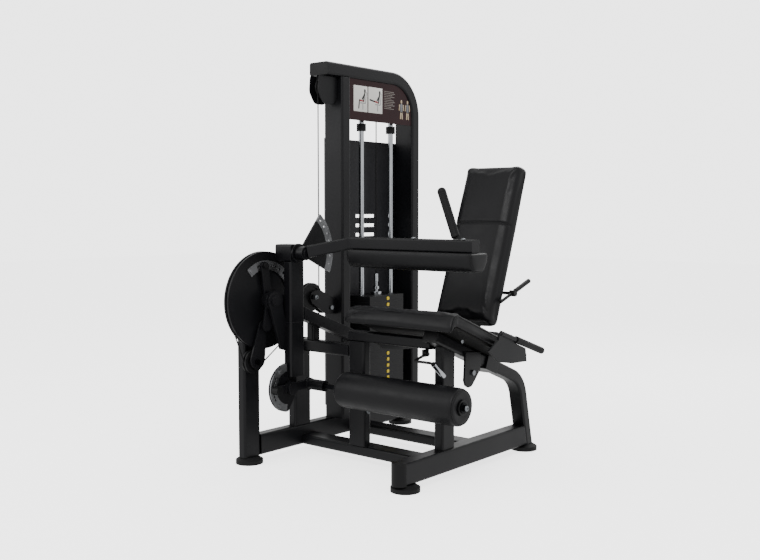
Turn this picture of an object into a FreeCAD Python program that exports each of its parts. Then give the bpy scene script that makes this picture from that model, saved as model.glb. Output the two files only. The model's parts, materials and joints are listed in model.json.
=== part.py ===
import FreeCAD, Part
import math
import os
import re

import Sketcher

# Seated leg extension machine with a weight tower, in millimetres.
# Origin: underside of the front foot below the spine tube, on the floor.
# +Z is up, +Y runs back from the knees to the back pad, and the tower is on the -X side.

App = FreeCAD
V = FreeCAD.Vector
doc = FreeCAD.newDocument("LegExtension")
sheet = doc.addObject("Spreadsheet::Sheet", "Sizes")

SIZES = [
    # floor frame
    ("wall", 3), ("corner", 9), ("gap", 0.3),
    ("foot_d", 104), ("foot_tall", 26), ("foot_neck_d", 70),
    ("base_tall", 80), ("spine_wide", 60), ("spine_front", -60), ("spine_rear", 736),
    ("left_x", -690), ("left_wide", 50), ("left_rear", 890), ("left_foot_y", 832),
    ("leg_wide", 40), ("leg_deep", 80), ("leg_y", -87), ("leg_top", 676),
    ("cross_deep", 80), ("cross_tall", 40), ("front_cross_y", 218), ("rear_cross_y", 518),
    ("rear_foot_y", 770),
    # posts and the beams that carry the knee pivot
    ("post_x", -685), ("post_wide", 40), ("post_deep", 90), ("post_y", 181),
    ("mid_y", 194), ("mid_deep", 40), ("mid_tall", 48), ("mid_low", 404),
    ("left_post_x", -377), ("left_post_wide", 80), ("seat_cross_low", 466),
    ("right_post_y", 226), ("right_post_wide", 40), ("right_post_deep", 76),
    ("beam_x", -580), ("beam_wide", 40), ("stub_x", -620), ("stub_top", 556),
    ("tilt", 21.6), ("rail_thick", 45), ("rail_ref_y", 413), ("rail_ref_z", 437),
    ("rail_front", 150), ("rail_bend_y", 706), ("rail_bend_r", 120), ("rail_foot_y", 768),
    ("left_rail_ref_y", 85), ("left_rail_ref_z", 592), ("left_rail_rear", 396),
    # knee pivot, cam and movement arm
    ("pivot_y", -42), ("pivot_z", 623), ("shaft_d", 30), ("run_gap", 0.05),
    ("cam_x", -655), ("cam_wide", 24), ("cam_r", 184), ("cam_groove_r", 178),
    ("cam_hub_r", 46), ("cam_web", 10), ("bearing_x", -606), ("bearing_thick", 12), ("bush_r", 23), ("pin_d", 10),
    ("rom_thick", 6), ("rom_r", 150), ("rom_band", 34), ("rom_hole_r", 133), ("rom_step", 10),
    ("arm_pin_at", 97.5),
    ("arm_y", 47.5), ("arm_deep", 75), ("arm_top", 538), ("arm_low", 330),
    ("post_top", 766), ("hub_r", 36), ("lever_thick", 12),
    # shin roller and its crank
    ("shin_y", 7), ("shin_z", 291), ("shin_r", 93), ("shin_band", 30), ("shin_hole_r", 78),
    ("shin_thick", 8), ("crank_y", 95), ("crank_z", 296), ("crank_tall", 32), ("crank_thick", 14),
    ("roller_left", -368), ("roller_right", 170), ("roller_d", 134), ("roller_bore", 32),
    ("roller_tube_d", 42), ("roller_shaft_d", 24), ("sleeve_right", -463),
    # thigh pad arm
    ("thigh_y", 48), ("thigh_z", 800), ("housing_tall", 66), ("housing_deep", 74),
    ("housing_left", -640), ("fan_r", 188), ("fan_band", 34), ("fan_thick", 8),
    ("fan_from", -25), ("fan_sweep", 76), ("thigh_hub_r", 26), ("thigh_pin_at", 5),
    ("bar_y", 164), ("bar_z", 838), ("bar_size", 45), ("bar_left", -392), ("bar_right", 172), ("grip_reach", 146),
    ("thigh_pad_tall", 66), ("thigh_pad_deep", 105),
    # seat and back
    ("seat_mid", -105), ("seat_wide", 490), ("seat_front", 80), ("seat_long", 395),
    ("board", 8), ("seat_pad", 46), ("seat_roll", 74),
    ("back_mid", -105), ("back_wide", 268), ("back_y", 462), ("back_z", 540), ("back_lean", 20),
    ("back_long", 640), ("back_pad", 66), ("handle_clear", 25), ("handle_out", "=seat_wide/2+handle_clear"),
    ("back_plate_wide", 170),
    # tower
    ("tower_x", -655), ("tower_wide", 100), ("tower_thick", 52), ("tower_top", 1548),
    ("near_y", 377), ("far_y", 835), ("tower_nose", 272), ("tower_bend", 180),
    ("stack_y", 622), ("plate_wide", 120), ("plate_deep", 224), ("plate_pitch", 26.2),
    ("plates_low", 12), ("plates_up", 5), ("stack_low", 155), ("rod_half", 96), ("rod_d", 22), ("rod_drop", 182), ("rod_top", "=tower_top-rod_drop"), ("stem_r", 12),
    ("sign_drop", 218), ("sign_low", "=tower_top-sign_drop"), ("sign_thick", 4),
    ("shroud_drop", 290), ("shroud_top", "=tower_top-shroud_drop"), ("shroud_low", 150),
    # cable and pulleys
    ("cable_d", 5), ("pulley_wide", 22), ("rim", 6),
    ("low_pulley_y", -100), ("low_pulley_z", 395), ("low_pulley_r", 38),
    ("turn_pulley_y", 214), ("turn_pulley_z", 617), ("turn_pulley_r", 50),
    ("pulley_drop", 98), ("top_pulley_z", "=tower_top-pulley_drop"), ("top_pulley_r", 38), ("axle_d", 12),
]
for row, (alias, value) in enumerate(SIZES, 1):
    sheet.set("A%d" % row, alias)
    sheet.set("B%d" % row, str(value))
    sheet.setAlias("B%d" % row, alias)
doc.recompute()

ALIASES = {alias for alias, value in SIZES}
NODES = []


def ex(text):
    """Turn a formula in alias words into a sheet expression."""
    return re.sub(r"[a-z_]+[a-z]", lambda m: "Sizes." + m.group() if m.group() in ALIASES
                  else m.group(), text)


def val(text):
    """The value of such a formula in plain numbers, angles in degrees."""
    result = sheet.evalExpression(ex(text))
    return float(getattr(result, "Value", result))


def place(obj, x="0", y="0", z="0", turn=None, angle=None):
    """Seat an object at formulas; angle drives a turn about the axis that turn gives."""
    if turn is not None:
        obj.Placement = App.Placement(V(), turn)
    for axis, text in zip("xyz", (x, y, z)):
        obj.setExpression("Placement.Base." + axis, ex(text))
    if angle is not None:
        obj.setExpression("Placement.Rotation.Angle", ex(angle))
    return obj


def primitive(kind, name, **sizes):
    obj = doc.addObject("Part::" + kind, name)
    for key, text in sizes.items():
        obj.setExpression(key, ex(text))
    return obj


ALONG = {"X": App.Rotation(V(0, 1, 0), 90), "Y": App.Rotation(V(1, 0, 0), -90),
         "Z": App.Rotation(), "-Z": App.Rotation(V(1, 0, 0), 180)}
SECTION = {"X": App.Rotation(V(0, 1, 0), V(0, 0, 1), V(1, 0, 0), "XYZ"),
           "Y": App.Rotation(V(1, 0, 0), V(0, 0, -1), V(0, 1, 0), "XYZ"),
           "Z": App.Rotation()}


def box(name, x, y, z, dx, dy, dz):
    """A block from its lowest corner."""
    return place(primitive("Box", name, Length=dx, Width=dy, Height=dz), x, y, z)


def rod(name, axis, radius, long, x, y, z):
    """A round bar from the middle of its first end."""
    return place(primitive("Cylinder", name, Radius=radius, Height=long), x, y, z, ALONG[axis])


def fuse(name, *parts):
    obj = doc.addObject("Part::MultiFuse", name)
    obj.Shapes = list(parts)
    return obj


def cut(name, base, *tools):
    obj = doc.addObject("Part::Cut", name)
    obj.Base = base
    obj.Tool = tools[0] if len(tools) == 1 else fuse(name + "Tools", *tools)
    return obj


def common(name, base, tool):
    obj = doc.addObject("Part::Common", name)
    obj.Base, obj.Tool = base, tool
    return obj


def group(name, *parts):
    obj = doc.addObject("Part::Compound", name)
    obj.Links = list(parts)
    return obj


def node(obj, label):
    obj.Label = label
    NODES.append(obj)
    return obj


def new_body(name):
    body = doc.addObject("PartDesign::Body", name)
    return body


def new_sketch(body, name, plane="XY_Plane"):
    sketch = body.newObject("Sketcher::SketchObject", name)
    base = [p for p in body.Origin.OriginFeatures if p.Role == plane][0]
    sketch.AttachmentSupport = (base, "")
    sketch.MapMode = "FlatFace"
    return sketch


def datum(sketch, kind, args, text):
    index = sketch.addConstraint(Sketcher.Constraint(kind, *args, val(text)))
    sketch.setExpression("Constraints[%d]" % index, ex(text))


def rounded(sketch, wide, tall, radius):
    """A rectangle about the sketch's origin with round corners."""
    w, t, r = val(wide) / 2, val(tall) / 2, val(radius)
    first = sketch.GeometryCount
    ends = [(-w + r, -t, w - r, -t), (w, -t + r, w, t - r),
            (w - r, t, -w + r, t), (-w, t - r, -w, -t + r)]
    mids = [(w - r, -t + r), (w - r, t - r), (-w + r, t - r), (-w + r, -t + r)]
    for k in range(4):
        x0, y0, x1, y1 = ends[k]
        sketch.addGeometry(Part.LineSegment(V(x0, y0, 0), V(x1, y1, 0)))
        circle = Part.Circle(V(mids[k][0], mids[k][1], 0), V(0, 0, 1), r)
        turn = math.radians(90 * (k - 1))
        sketch.addGeometry(Part.ArcOfCircle(circle, turn, turn + math.pi / 2))
    lines = [first + 2 * k for k in range(4)]
    arcs = [first + 2 * k + 1 for k in range(4)]
    for k in range(4):
        sketch.addConstraint(Sketcher.Constraint("Tangent", lines[k], 2, arcs[k], 1))
        sketch.addConstraint(Sketcher.Constraint("Tangent", arcs[k], 2, lines[(k + 1) % 4], 1))
        sketch.addConstraint(Sketcher.Constraint("Horizontal" if k % 2 == 0 else "Vertical", lines[k]))
        if k:
            sketch.addConstraint(Sketcher.Constraint("Equal", arcs[0], arcs[k]))
    datum(sketch, "Radius", (arcs[0],), radius)
    datum(sketch, "DistanceX", (lines[3], 1, lines[1], 2), wide)
    datum(sketch, "DistanceY", (lines[0], 1, lines[2], 2), tall)
    datum(sketch, "DistanceX", (-1, 1, lines[1], 2), "(%s)/2" % wide)
    datum(sketch, "DistanceY", (-1, 1, lines[2], 2), "(%s)/2" % tall)


def polygon(sketch, points):
    """A closed outline whose every corner is held by two sizes."""
    spots = [V(val(a), val(b), 0) for a, b in points]
    count = len(spots)
    for k in range(count):
        sketch.addGeometry(Part.LineSegment(spots[k], spots[(k + 1) % count]))
    for k in range(count):
        sketch.addConstraint(Sketcher.Constraint("Coincident", k, 2, (k + 1) % count, 1))
    for k, (a, b) in enumerate(points):
        datum(sketch, "DistanceX", (-1, 1, k, 1), a)
        datum(sketch, "DistanceY", (-1, 1, k, 1), b)


def pad(body, name, sketch, long):
    feature = body.newObject("PartDesign::Pad", name)
    feature.Profile = sketch
    feature.setExpression("Length", ex(long))
    sketch.Visibility = False
    return feature


def tube(name, axis, wide, deep, long, x, y, z, hollow=True, radius="corner"):
    """A rolled section about a line: X section is Y by Z, Y is X by Z and Z is X by Y."""
    body = new_body(name)
    sketch = new_sketch(body, name + "Section")
    rounded(sketch, wide, deep, radius)
    if hollow:
        rounded(sketch, wide + "-2*wall", deep + "-2*wall", radius + "-wall")
    pad(body, name + "Pad", sketch, long)
    return place(body, x, y, z, SECTION[axis])


def plate(name, points, thick, x):
    """A plate that faces along X, drawn in Y and Z, from its -X face."""
    body = new_body(name)
    sketch = new_sketch(body, name + "Outline")
    polygon(sketch, points)
    pad(body, name + "Pad", sketch, thick)
    return place(body, x, "0", "0", SECTION["X"])


def soften(body, name, radius, pick):
    """Round the edges of a body that the test picks."""
    body.Tip.recompute(True)
    edges = ["Edge%d" % (k + 1) for k, edge in enumerate(body.Tip.Shape.Edges) if pick(edge)]
    feature = body.newObject("PartDesign::Fillet", name)
    feature.Base = (body.Group[-2] if body.Group[-1] == feature else body.Tip, edges)
    feature.setExpression("Radius", ex(radius))
    body.Tip = feature
    return body


def sector(name, outer, inner, thick, x, y, z, start, sweep):
    """Part of a flat ring that faces along X, its angles counted from +Y towards +Z."""
    ring = primitive("Cylinder", name + "Outer", Radius=outer, Height=thick, Angle=sweep)
    hole = primitive("Cylinder", name + "Inner", Radius=inner, Height=thick)
    turn = SECTION["X"].multiply(App.Rotation(V(0, 0, 1), val(start)))
    place(ring, x, y, z, turn)
    place(hole, x, y, z, SECTION["X"])
    return cut(name, ring, hole)


def ring_rods(name, count, start, step, reach, radius, long, x, y, z):
    """Round bars along X on an arc, for holes or bolts."""
    bars = []
    for k in range(count):
        angle = "(%s+%d*(%s))" % (start, k, step)
        bars.append(rod("%s%d" % (name, k), "X", radius, long, x,
                        "%s+(%s)*cos(%s)" % (y, reach, angle), "%s+(%s)*sin(%s)" % (z, reach, angle)))
    return bars


def on_rail(s, n):
    """A point by its distance down the seat rail and above the rail's top face."""
    return ("rail_ref_y+(%s)*cos(tilt)+(%s)*sin(tilt)" % (s, n),
            "rail_ref_z-(%s)*sin(tilt)+(%s)*cos(tilt)" % (s, n))


def on_back(up, back):
    """A point by its distance up the back pad and behind the pad's front face."""
    return ("back_y+(%s)*sin(back_lean)+(%s)*cos(back_lean)" % (up, back),
            "back_z+(%s)*cos(back_lean)-(%s)*sin(back_lean)" % (up, back))


def left_line(y, drop="0"):
    """A point on the top line of the left rail, or straight below it."""
    return (y, "left_rail_ref_z-tan(tilt)*((%s)-left_rail_ref_y)-(%s)" % (y, drop))


def turned(name, points, x, y, z, turn=SECTION["X"]):
    """A round part about an X line: its outline gives radius and place along the line."""
    body = new_body(name)
    sketch = new_sketch(body, name + "Outline", "XZ_Plane")
    polygon(sketch, points)
    feature = body.newObject("PartDesign::Revolution", name + "Turn")
    feature.Profile = sketch
    feature.ReferenceAxis = (sketch, ["V_Axis"])
    sketch.Visibility = False
    return place(body, x, y, z, turn)


def sheave(name, pitch, y, z):
    """A grooved pulley in the cable's plane."""
    side, lip = "pulley_wide/2", "pitch+rim".replace("pitch", pitch)
    floor, half = "%s-cable_d/2-gap" % pitch, "cable_d/2+gap"
    bore = "axle_d/2+run_gap"
    points = [(bore, "-" + side), ("axle_d", "-" + side), ("axle_d", "-%s+3" % side),
              ("%s-9" % pitch, "-%s+3" % side), ("%s-9" % pitch, "-" + side), (lip, "-" + side),
              (lip, "-%s-2" % half), (floor, "-(%s)" % half), (floor, half), (lip, "%s+2" % half),
              (lip, side), ("%s-9" % pitch, side), ("%s-9" % pitch, side + "-3"),
              ("axle_d", side + "-3"), ("axle_d", side), (bore, side)]
    return turned(name, points, "cam_x", y, z)


def swept(name, start, section, corners, bend):
    """A bent tube of the given section along straight runs in the YZ plane, set at one X."""
    body = new_body(name)
    path = new_sketch(body, name + "Path", "YZ_Plane")
    route = wire_through([V(val(y), val(z), 0) for y, z in corners], val(bend))
    for edge in route:
        path.addGeometry(edge)
    return body


def wire_through(corners, bend):
    """Straight runs with tangent arcs at their inner corners."""
    edges = []
    here = corners[0]
    for k in range(1, len(corners) - 1):
        before = (corners[k - 1] - corners[k]).normalize()
        after = (corners[k + 1] - corners[k]).normalize()
        half = before.getAngle(after) / 2
        reach = bend / math.tan(half)
        enter, leave = corners[k] + before * reach, corners[k] + after * reach
        centre = corners[k] + (before + after).normalize() * (bend / math.sin(half))
        middle = centre + (corners[k] - centre).normalize() * bend
        edges.append(Part.LineSegment(here, enter))
        edges.append(Part.Arc(enter, middle, leave))
        here = leave
    edges.append(Part.LineSegment(here, corners[-1]))
    return edges


def bent_tube(name, corners, bend, wide, deep, x, hollow=True):
    """A hollow section swept along runs in Y and Z; wide is across X."""
    spots = [V(val(x), val(y), val(z)) for y, z in corners]
    edges = wire_through(spots, val(bend))
    wire = Part.Wire([edge.toShape() for edge in edges])
    along = (spots[1] - spots[0]).normalize()
    side = V(1, 0, 0)
    up = along.cross(side)
    shapes = []
    for inset in ([0, val("wall")] if hollow else [0]):
        w, d = val(wide) / 2 - inset, val(deep) / 2 - inset
        r = max(val("corner") - inset, 1)
        section = rounded_wire(spots[0], side, up, w, d, r)
        shapes.append(wire.makePipeShell([section], True, False))
    shape = shapes[0].cut(shapes[1]) if hollow else shapes[0]
    obj = doc.addObject("Part::Feature", name)
    obj.Shape = shape
    return obj


def rounded_wire(mid, side, up, w, d, r):
    """A round-cornered rectangle in the plane of side and up."""
    edges = []
    corners = [(w, d), (-w, d), (-w, -d), (w, -d)]
    spots = []
    for k in range(4):
        a, b = corners[k]
        sa, sb = math.copysign(1, a), math.copysign(1, b)
        centre = mid + side * (a - sa * r) + up * (b - sb * r)
        first = centre + (side * sa * r if sa * sb > 0 else up * sb * r)
        last = centre + (up * sb * r if sa * sb > 0 else side * sa * r)
        middle = centre + (side * sa + up * sb) * (r / math.sqrt(2))
        spots.append((first, middle, last))
    for k in range(4):
        edges.append(Part.Arc(*spots[k]).toShape())
        edges.append(Part.LineSegment(spots[k][2], spots[(k + 1) % 4][0]).toShape())
    return Part.Wire(edges)


def round_bar(name, corners, bend, radius):
    """A round bar through points in space."""
    edges = wire_through(corners, bend) if len(corners) > 2 else [Part.LineSegment(*corners)]
    return round_sweep(name, edges, radius)


def round_sweep(name, edges, radius):
    wire = Part.Wire([edge.toShape() for edge in edges])
    first = edges[0]
    start = first.value(first.FirstParameter)
    along = first.tangent(first.FirstParameter)[0]
    ring = Part.Wire([Part.Circle(start, along, radius).toShape()])
    obj = doc.addObject("Part::Feature", name)
    obj.Shape = wire.makePipeShell([ring], True, False)
    return obj


def spot(x, y, z):
    return V(val(x), val(y), val(z))


HALF_X = "cam_x"
TOWER_LEFT = "tower_x-tower_wide/2"
RAIL_LOW = "rail_thick/cos(tilt)"

# ---------------------------------------------------------------- floor frame
left_tube = tube("BaseLeft", "Y", "left_wide", "base_tall", "left_rear-left_wide/2-leg_y-leg_deep/2",
                 "left_x", "leg_y+leg_deep/2", "foot_tall+base_tall/2")
node(left_tube, "base_left")

corner_z = "rail_ref_z-tan(tilt)*(rail_bend_y-rail_ref_y)-rail_thick/2/cos(tilt)"
lean = "(rail_foot_y-rail_bend_y)/(%s-foot_tall)" % corner_z
lean_half = "rail_thick/2*sqrt(1+(%s)^2)" % lean
spine = tube("Spine", "Y", "spine_wide", "base_tall", "rail_foot_y-spine_front-spine_wide/2",
             "0", "spine_front+spine_wide/2", "foot_tall+base_tall/2")
behind = plate("SpineEnd", [("rail_foot_y-%s" % lean_half, "foot_tall"),
                            ("rail_foot_y+100", "foot_tall"), ("rail_foot_y+100", "foot_tall+base_tall"),
                            ("rail_foot_y-%s-base_tall*%s" % (lean_half, lean), "foot_tall+base_tall")],
               "spine_wide+10", "-spine_wide/2-5")
node(cut("BaseRight", spine, behind), "base_right")

cross_from = "left_x+left_wide/2"
cross_long = "-spine_wide/2-(%s)" % cross_from
crosses = [tube(name, "X", "cross_deep", "cross_tall", cross_long, cross_from, y, "foot_tall+cross_tall/2")
           for name, y in (("CrossFront", "front_cross_y"), ("CrossRear", "rear_cross_y"))]
node(group("BaseCross", *crosses), "base_cross")

feet = []
for k, (x, y) in enumerate((("left_x", "leg_y"), ("0", "0"), ("0", "rear_foot_y"),
                            ("left_x", "left_foot_y"))):
    pad_low = rod("FootPad%d" % k, "Z", "foot_d/2", "foot_tall*0.6", x, y, "0")
    neck = primitive("Cone", "FootNeck%d" % k, Radius1="foot_d/2", Radius2="foot_neck_d/2",
                     Height="foot_tall*0.4")
    place(neck, x, y, "foot_tall*0.6")
    feet.append(fuse("Foot%d" % k, pad_low, neck))
node(group("Feet", *feet), "feet")

# ---------------------------------------------------------------- posts
leg = tube("Leg", "Z", "leg_wide", "leg_deep", "leg_top-foot_tall", "left_x", "leg_y", "foot_tall")
leg_head = rod("LegHead", "X", "hub_r+2", "leg_wide", "left_x-leg_wide/2", "pivot_y", "pivot_z")
leg_bore = rod("LegBore", "X", "bush_r+gap", "leg_wide+20", "left_x-leg_wide/2-10", "pivot_y", "pivot_z")
node(cut("LegOuter", fuse("LegSolid", leg, leg_head), leg_bore), "leg_outer")

mid_z = "mid_low+mid_tall/2"
post = tube("Post", "Z", "post_wide", "post_deep", "mid_low+mid_tall-foot_tall-base_tall",
            "post_x", "post_y", "foot_tall+base_tall")
mid = tube("Mid", "X", "mid_deep", "mid_tall", "left_post_x-left_post_wide/2-post_x-post_wide/2",
           "post_x+post_wide/2", "mid_y", mid_z)
stub = tube("Stub", "Z", "mid_deep", "mid_deep", "stub_top-mid_low-mid_tall",
            "stub_x", "mid_y", "mid_low+mid_tall")
node(fuse("MidFrame", post, mid, stub), "mid_frame")

left_post = tube("LeftPost", "Z", "left_post_wide", "mid_deep", "seat_cross_low-foot_tall-cross_tall",
                 "left_post_x", "mid_y", "foot_tall+cross_tall")
seat_cross = tube("SeatCross", "X", "mid_deep", "mid_deep", "-spine_wide/2-left_post_x+left_post_wide/2",
                  "left_post_x-left_post_wide/2", "mid_y", "seat_cross_low+mid_deep/2")
right_post = tube("RightPostLong", "Z", "right_post_wide", "right_post_deep",
                  "rail_ref_z-foot_tall-base_tall+40", "0", "right_post_y", "foot_tall+base_tall")
rail_space = box("RailSpace", "-60", "0", "0", "120", "900", "200")
place(rail_space, "-60", on_rail("-400", "-rail_thick")[0], on_rail("-400", "-rail_thick")[1],
      App.Rotation(V(-1, 0, 0), val("tilt")), "tilt")
right_post = cut("RightPost", right_post, rail_space)
lever_y, lever_z = "mid_y-mid_deep/2-6", "seat_cross_low-14"
lever_hanger = box("LeverHanger", "-52", lever_y + "-9", lever_z + "-12", "8", "32", "26")
lever_pin = rod("LeverPin", "X", "4", "22", "-48", lever_y, lever_z)
lever_end = rod("LeverEnd", "X", "7", "3", "-33", lever_y, lever_z)
node(group("SeatFrame", fuse("SeatFrameLeft", left_post, seat_cross, lever_hanger, lever_pin, lever_end),
           right_post), "seat_frame")

rail_mid = "-rail_thick/2"
rail_start = on_rail("(rail_front-rail_ref_y)/cos(tilt)", rail_mid)
rail_tube = bent_tube("RailTube", [rail_start, ("rail_bend_y", corner_z),
                                   ("rail_foot_y+12*%s" % lean, "foot_tall-12")],
                      "rail_bend_r", "spine_wide", "rail_thick", "0")
below = box("BelowRail", "-60", "rail_foot_y-100", "foot_tall-60", "120", "200", "60")
hang_plate = plate("HangPlate", [("303", "450"), ("397", "440"), ("396", "374"), ("352", "328"),
                                 ("340", "319"), ("322", "317"), ("305", "326"), ("296", "344")],
                   "8", "spine_wide/2")
node(fuse("SeatRail", cut("RailCut", rail_tube, below), hang_plate), "seat_rail")

# ---------------------------------------------------------------- left rail and thigh post
beam_left = "beam_x-beam_wide/2"
left_low = "rail_thick/cos(tilt)"
left_start = "arm_y+arm_deep/2+gap"
left_out = plate("LeftRailOut", [left_line(left_start), left_line("left_rail_rear"),
                                 left_line("left_rail_rear", left_low),
                                 left_line(left_start, left_low)], "beam_wide", beam_left)
left_in = plate("LeftRailIn", [left_line(left_start + "+wall", "wall*1.1"),
                               left_line("left_rail_rear+5", "wall*1.1"),
                               left_line("left_rail_rear+5", "%s-wall*1.1" % left_low),
                               left_line(left_start + "+wall", "%s-wall*1.1" % left_low)],
                "beam_wide-2*wall", "%s+wall" % beam_left)
rail_link = box("RailLink", "tower_x+tower_wide/2", "near_y-tower_thick/2+2", "430",
                "%s-tower_x-tower_wide/2" % beam_left, "left_rail_rear-near_y+tower_thick/2-2", "30")
ear_hub = rod("EarHub", "X", "hub_r", "bearing_thick", "bearing_x-bearing_thick/2", "pivot_y", "pivot_z")
ear_from = "bearing_x-bearing_thick/2"
ear_arm = plate("EarArm", [("pivot_y-10", "pivot_z+34"), ("arm_y+13", "pivot_z+10"),
                           (left_start + "+45", "pivot_z-53"), (left_start + "+45", "pivot_z-88"),
                           ("arm_y+22", "pivot_z-78"), ("pivot_y-10", "pivot_z-34")],
                "bearing_thick", ear_from)
drop_y, drop_z = "pivot_y-26", "pivot_z-93"
ear_drop = plate("EarDrop", [("pivot_y-32", "pivot_z-13"), ("pivot_y+32", "pivot_z-13"),
                             (drop_y + "+20", drop_z), (drop_y + "-20", drop_z)], "8", ear_from)
ear_round = rod("EarRound", "X", "20", "8", ear_from, drop_y, drop_z)
drop_spacer = rod("DropSpacer", "X", "11", "%s-cam_x-28" % ear_from, "cam_x+28", drop_y, drop_z)
ear_bore = rod("EarBore", "X", "bush_r+gap", "bearing_thick+4", "bearing_x-bearing_thick/2-2",
               "pivot_y", "pivot_z")
ear = cut("Ear", fuse("EarSolid", ear_hub, ear_arm, ear_drop, ear_round, drop_spacer), ear_bore)
node(fuse("LeftRail", cut("LeftRailTube", left_out, left_in), rail_link, ear), "left_rail")

housing_low = "thigh_z-housing_tall/2"
thigh_tube = tube("ThighTube", "Z", "beam_wide", "arm_deep", "%s-arm_top-gap" % housing_low,
                  "beam_x", "arm_y", "arm_top+gap")
housing = tube("Housing", "X", "housing_deep", "housing_tall", "beam_x+beam_wide/2-housing_left",
               "housing_left", "thigh_y", "thigh_z")
plugs = [tube("Plug%d" % k, "X", "housing_deep-2*wall", "housing_tall-2*wall", "12", x, "thigh_y", "thigh_z",
              False, "corner-wall") for k, x in enumerate(("housing_left+20", "beam_x+beam_wide/2-12"))]
plug_bore = rod("PlugBore", "X", "bush_r+gap", "200", "housing_left-20", "thigh_y", "thigh_z")
node(cut("ThighPost", fuse("ThighPostSolid", thigh_tube, housing, *plugs), plug_bore), "thigh_post")

fan_x = "beam_x+beam_wide/2"
fan_web = sector("FanWeb", "fan_r-fan_band", "hub_r", "fan_thick", fan_x, "thigh_y", "thigh_z",
                 "fan_from", "fan_sweep")
fan_hub = rod("FanHub", "X", "hub_r+0.01", "fan_thick", fan_x, "thigh_y", "thigh_z")
fan_bore = rod("FanBore", "X", "shaft_d/2+gap", "fan_thick+4", "%s-2" % fan_x, "thigh_y", "thigh_z")
node(cut("FanPlate", fuse("FanSolid", fan_web, fan_hub), fan_bore), "fan_plate")
fan_ring = sector("FanRing", "fan_r", "fan_r-fan_band", "fan_thick", fan_x, "thigh_y", "thigh_z",
                  "fan_from", "fan_sweep")
fan_holes = ring_rods("FanHole", 7, "thigh_pin_at-20", "rom_step", "fan_r-fan_band/2", "pin_d/2+gap",
                      "fan_thick+4", "%s-2" % fan_x, "thigh_y", "thigh_z")
node(cut("FanArc", fan_ring, *fan_holes), "fan_arc")

# ---------------------------------------------------------------- tower
slot_z = "top_pulley_z+top_pulley_r"
upright = tube("Upright", "Z", "tower_wide", "tower_thick", "tower_top-tower_thick-foot_tall-base_tall",
               "tower_x", "near_y", "foot_tall+base_tall")
cable_slot = box("CableSlot", "tower_x-8", "near_y-60", "%s-10" % slot_z, "16", "120", "40")
node(cut("TowerUpright", upright, cable_slot), "tower_upright")
tower_arch = bent_tube("TowerArch", [("tower_nose", "tower_top-tower_thick/2"),
                                     ("far_y", "tower_top-tower_thick/2"),
                                     ("far_y", "foot_tall+base_tall")],
                       "tower_bend-tower_thick/2", "tower_wide", "tower_thick", "tower_x")
node(tower_arch, "tower_bend")
inner_from = "near_y+tower_thick/2"
inner_to = "far_y-tower_thick/2"
floor_top = "foot_tall+base_tall"
stack_plate = box("StackPlate", TOWER_LEFT, inner_from, floor_top, "tower_wide",
                  "far_y-near_y-tower_thick", "10")
top_bar = box("TopBar", "tower_x-28", inner_from, "rod_top-10", "56", "far_y-near_y-tower_thick", "10")
top_holes = [rod("TopHole%d" % k, "Z", size, "40", "tower_x", y, "rod_top-30")
             for k, (size, y) in enumerate((("rod_d/2", "stack_y-rod_half"), ("rod_d/2", "stack_y+rod_half"),
                                            ("12", "stack_y")))]
node(group("RodBars", stack_plate, cut("TopBarCut", top_bar, *top_holes)), "rod_bars")
arc_mid_y, arc_mid_z = "far_y+tower_thick/2-tower_bend", "tower_top-tower_bend"
arc_in = "(tower_bend-tower_thick-gap)"
sign_points = [(inner_from, "sign_low"), (inner_to, "sign_low")]
sign_points += [("%s+%s*cos(%d)" % (arc_mid_y, arc_in, a), "%s+%s*sin(%d)" % (arc_mid_z, arc_in, a))
                for a in range(0, 91, 15)]
sign_points.append((inner_from, "tower_top-tower_thick"))
node(plate("Sign", sign_points, "sign_thick", "tower_x+tower_wide/2-7-sign_thick"), "placard")
shroud_x, shroud_tall = "tower_x-plate_wide/2-5", "shroud_top-shroud_low"
shroud_sheet = box("ShroudSheet", shroud_x, "near_y-10", "shroud_low", "2", "far_y-near_y+20", shroud_tall)
folds = [box("Fold%d" % k, shroud_x, y, "shroud_low", "tower_x-tower_wide/2-(%s)" % shroud_x, "2", shroud_tall)
         for k, y in enumerate(("near_y-10", "far_y+8"))]
shroud_box = fuse("ShroudTray", shroud_sheet, *folds)
vents = [box("Vent%d" % k, shroud_x + "-6", "stack_y-60", "shroud_low+620+%d" % (40 * k), "14",
             "120", "14") for k in range(5)]
node(cut("Shroud", shroud_box, *vents), "shroud")

rod_z = "foot_tall+base_tall+10"
rods = [rod("Rod%d" % k, "Z", "rod_d/2", "rod_top-(%s)" % rod_z, "tower_x", "stack_y%srod_half" % side, rod_z)
        for k, side in enumerate("-+")]
node(group("GuideRods", *rods), "guide_rods")
fittings = []
for k, side in enumerate(("-", "+")):
    y = "stack_y%srod_half" % side
    bumper = rod("Bumper%d" % k, "Z", "rod_d/2+12", "stack_low-(%s)" % rod_z, "tower_x", y, rod_z)
    hole = rod("BumperBore%d" % k, "Z", "rod_d/2", "400", "tower_x", y, "60")
    collar = rod("Collar%d" % k, "Z", "rod_d/2+9", "30", "tower_x", y, "rod_top-74")
    bore = rod("CollarBore%d" % k, "Z", "rod_d/2", "400", "tower_x", y, "rod_top-266")
    fittings += [cut("BumperRing%d" % k, bumper, hole), cut("CollarRing%d" % k, collar, bore)]
node(group("RodFittings", *fittings), "rod_fittings")

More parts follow.
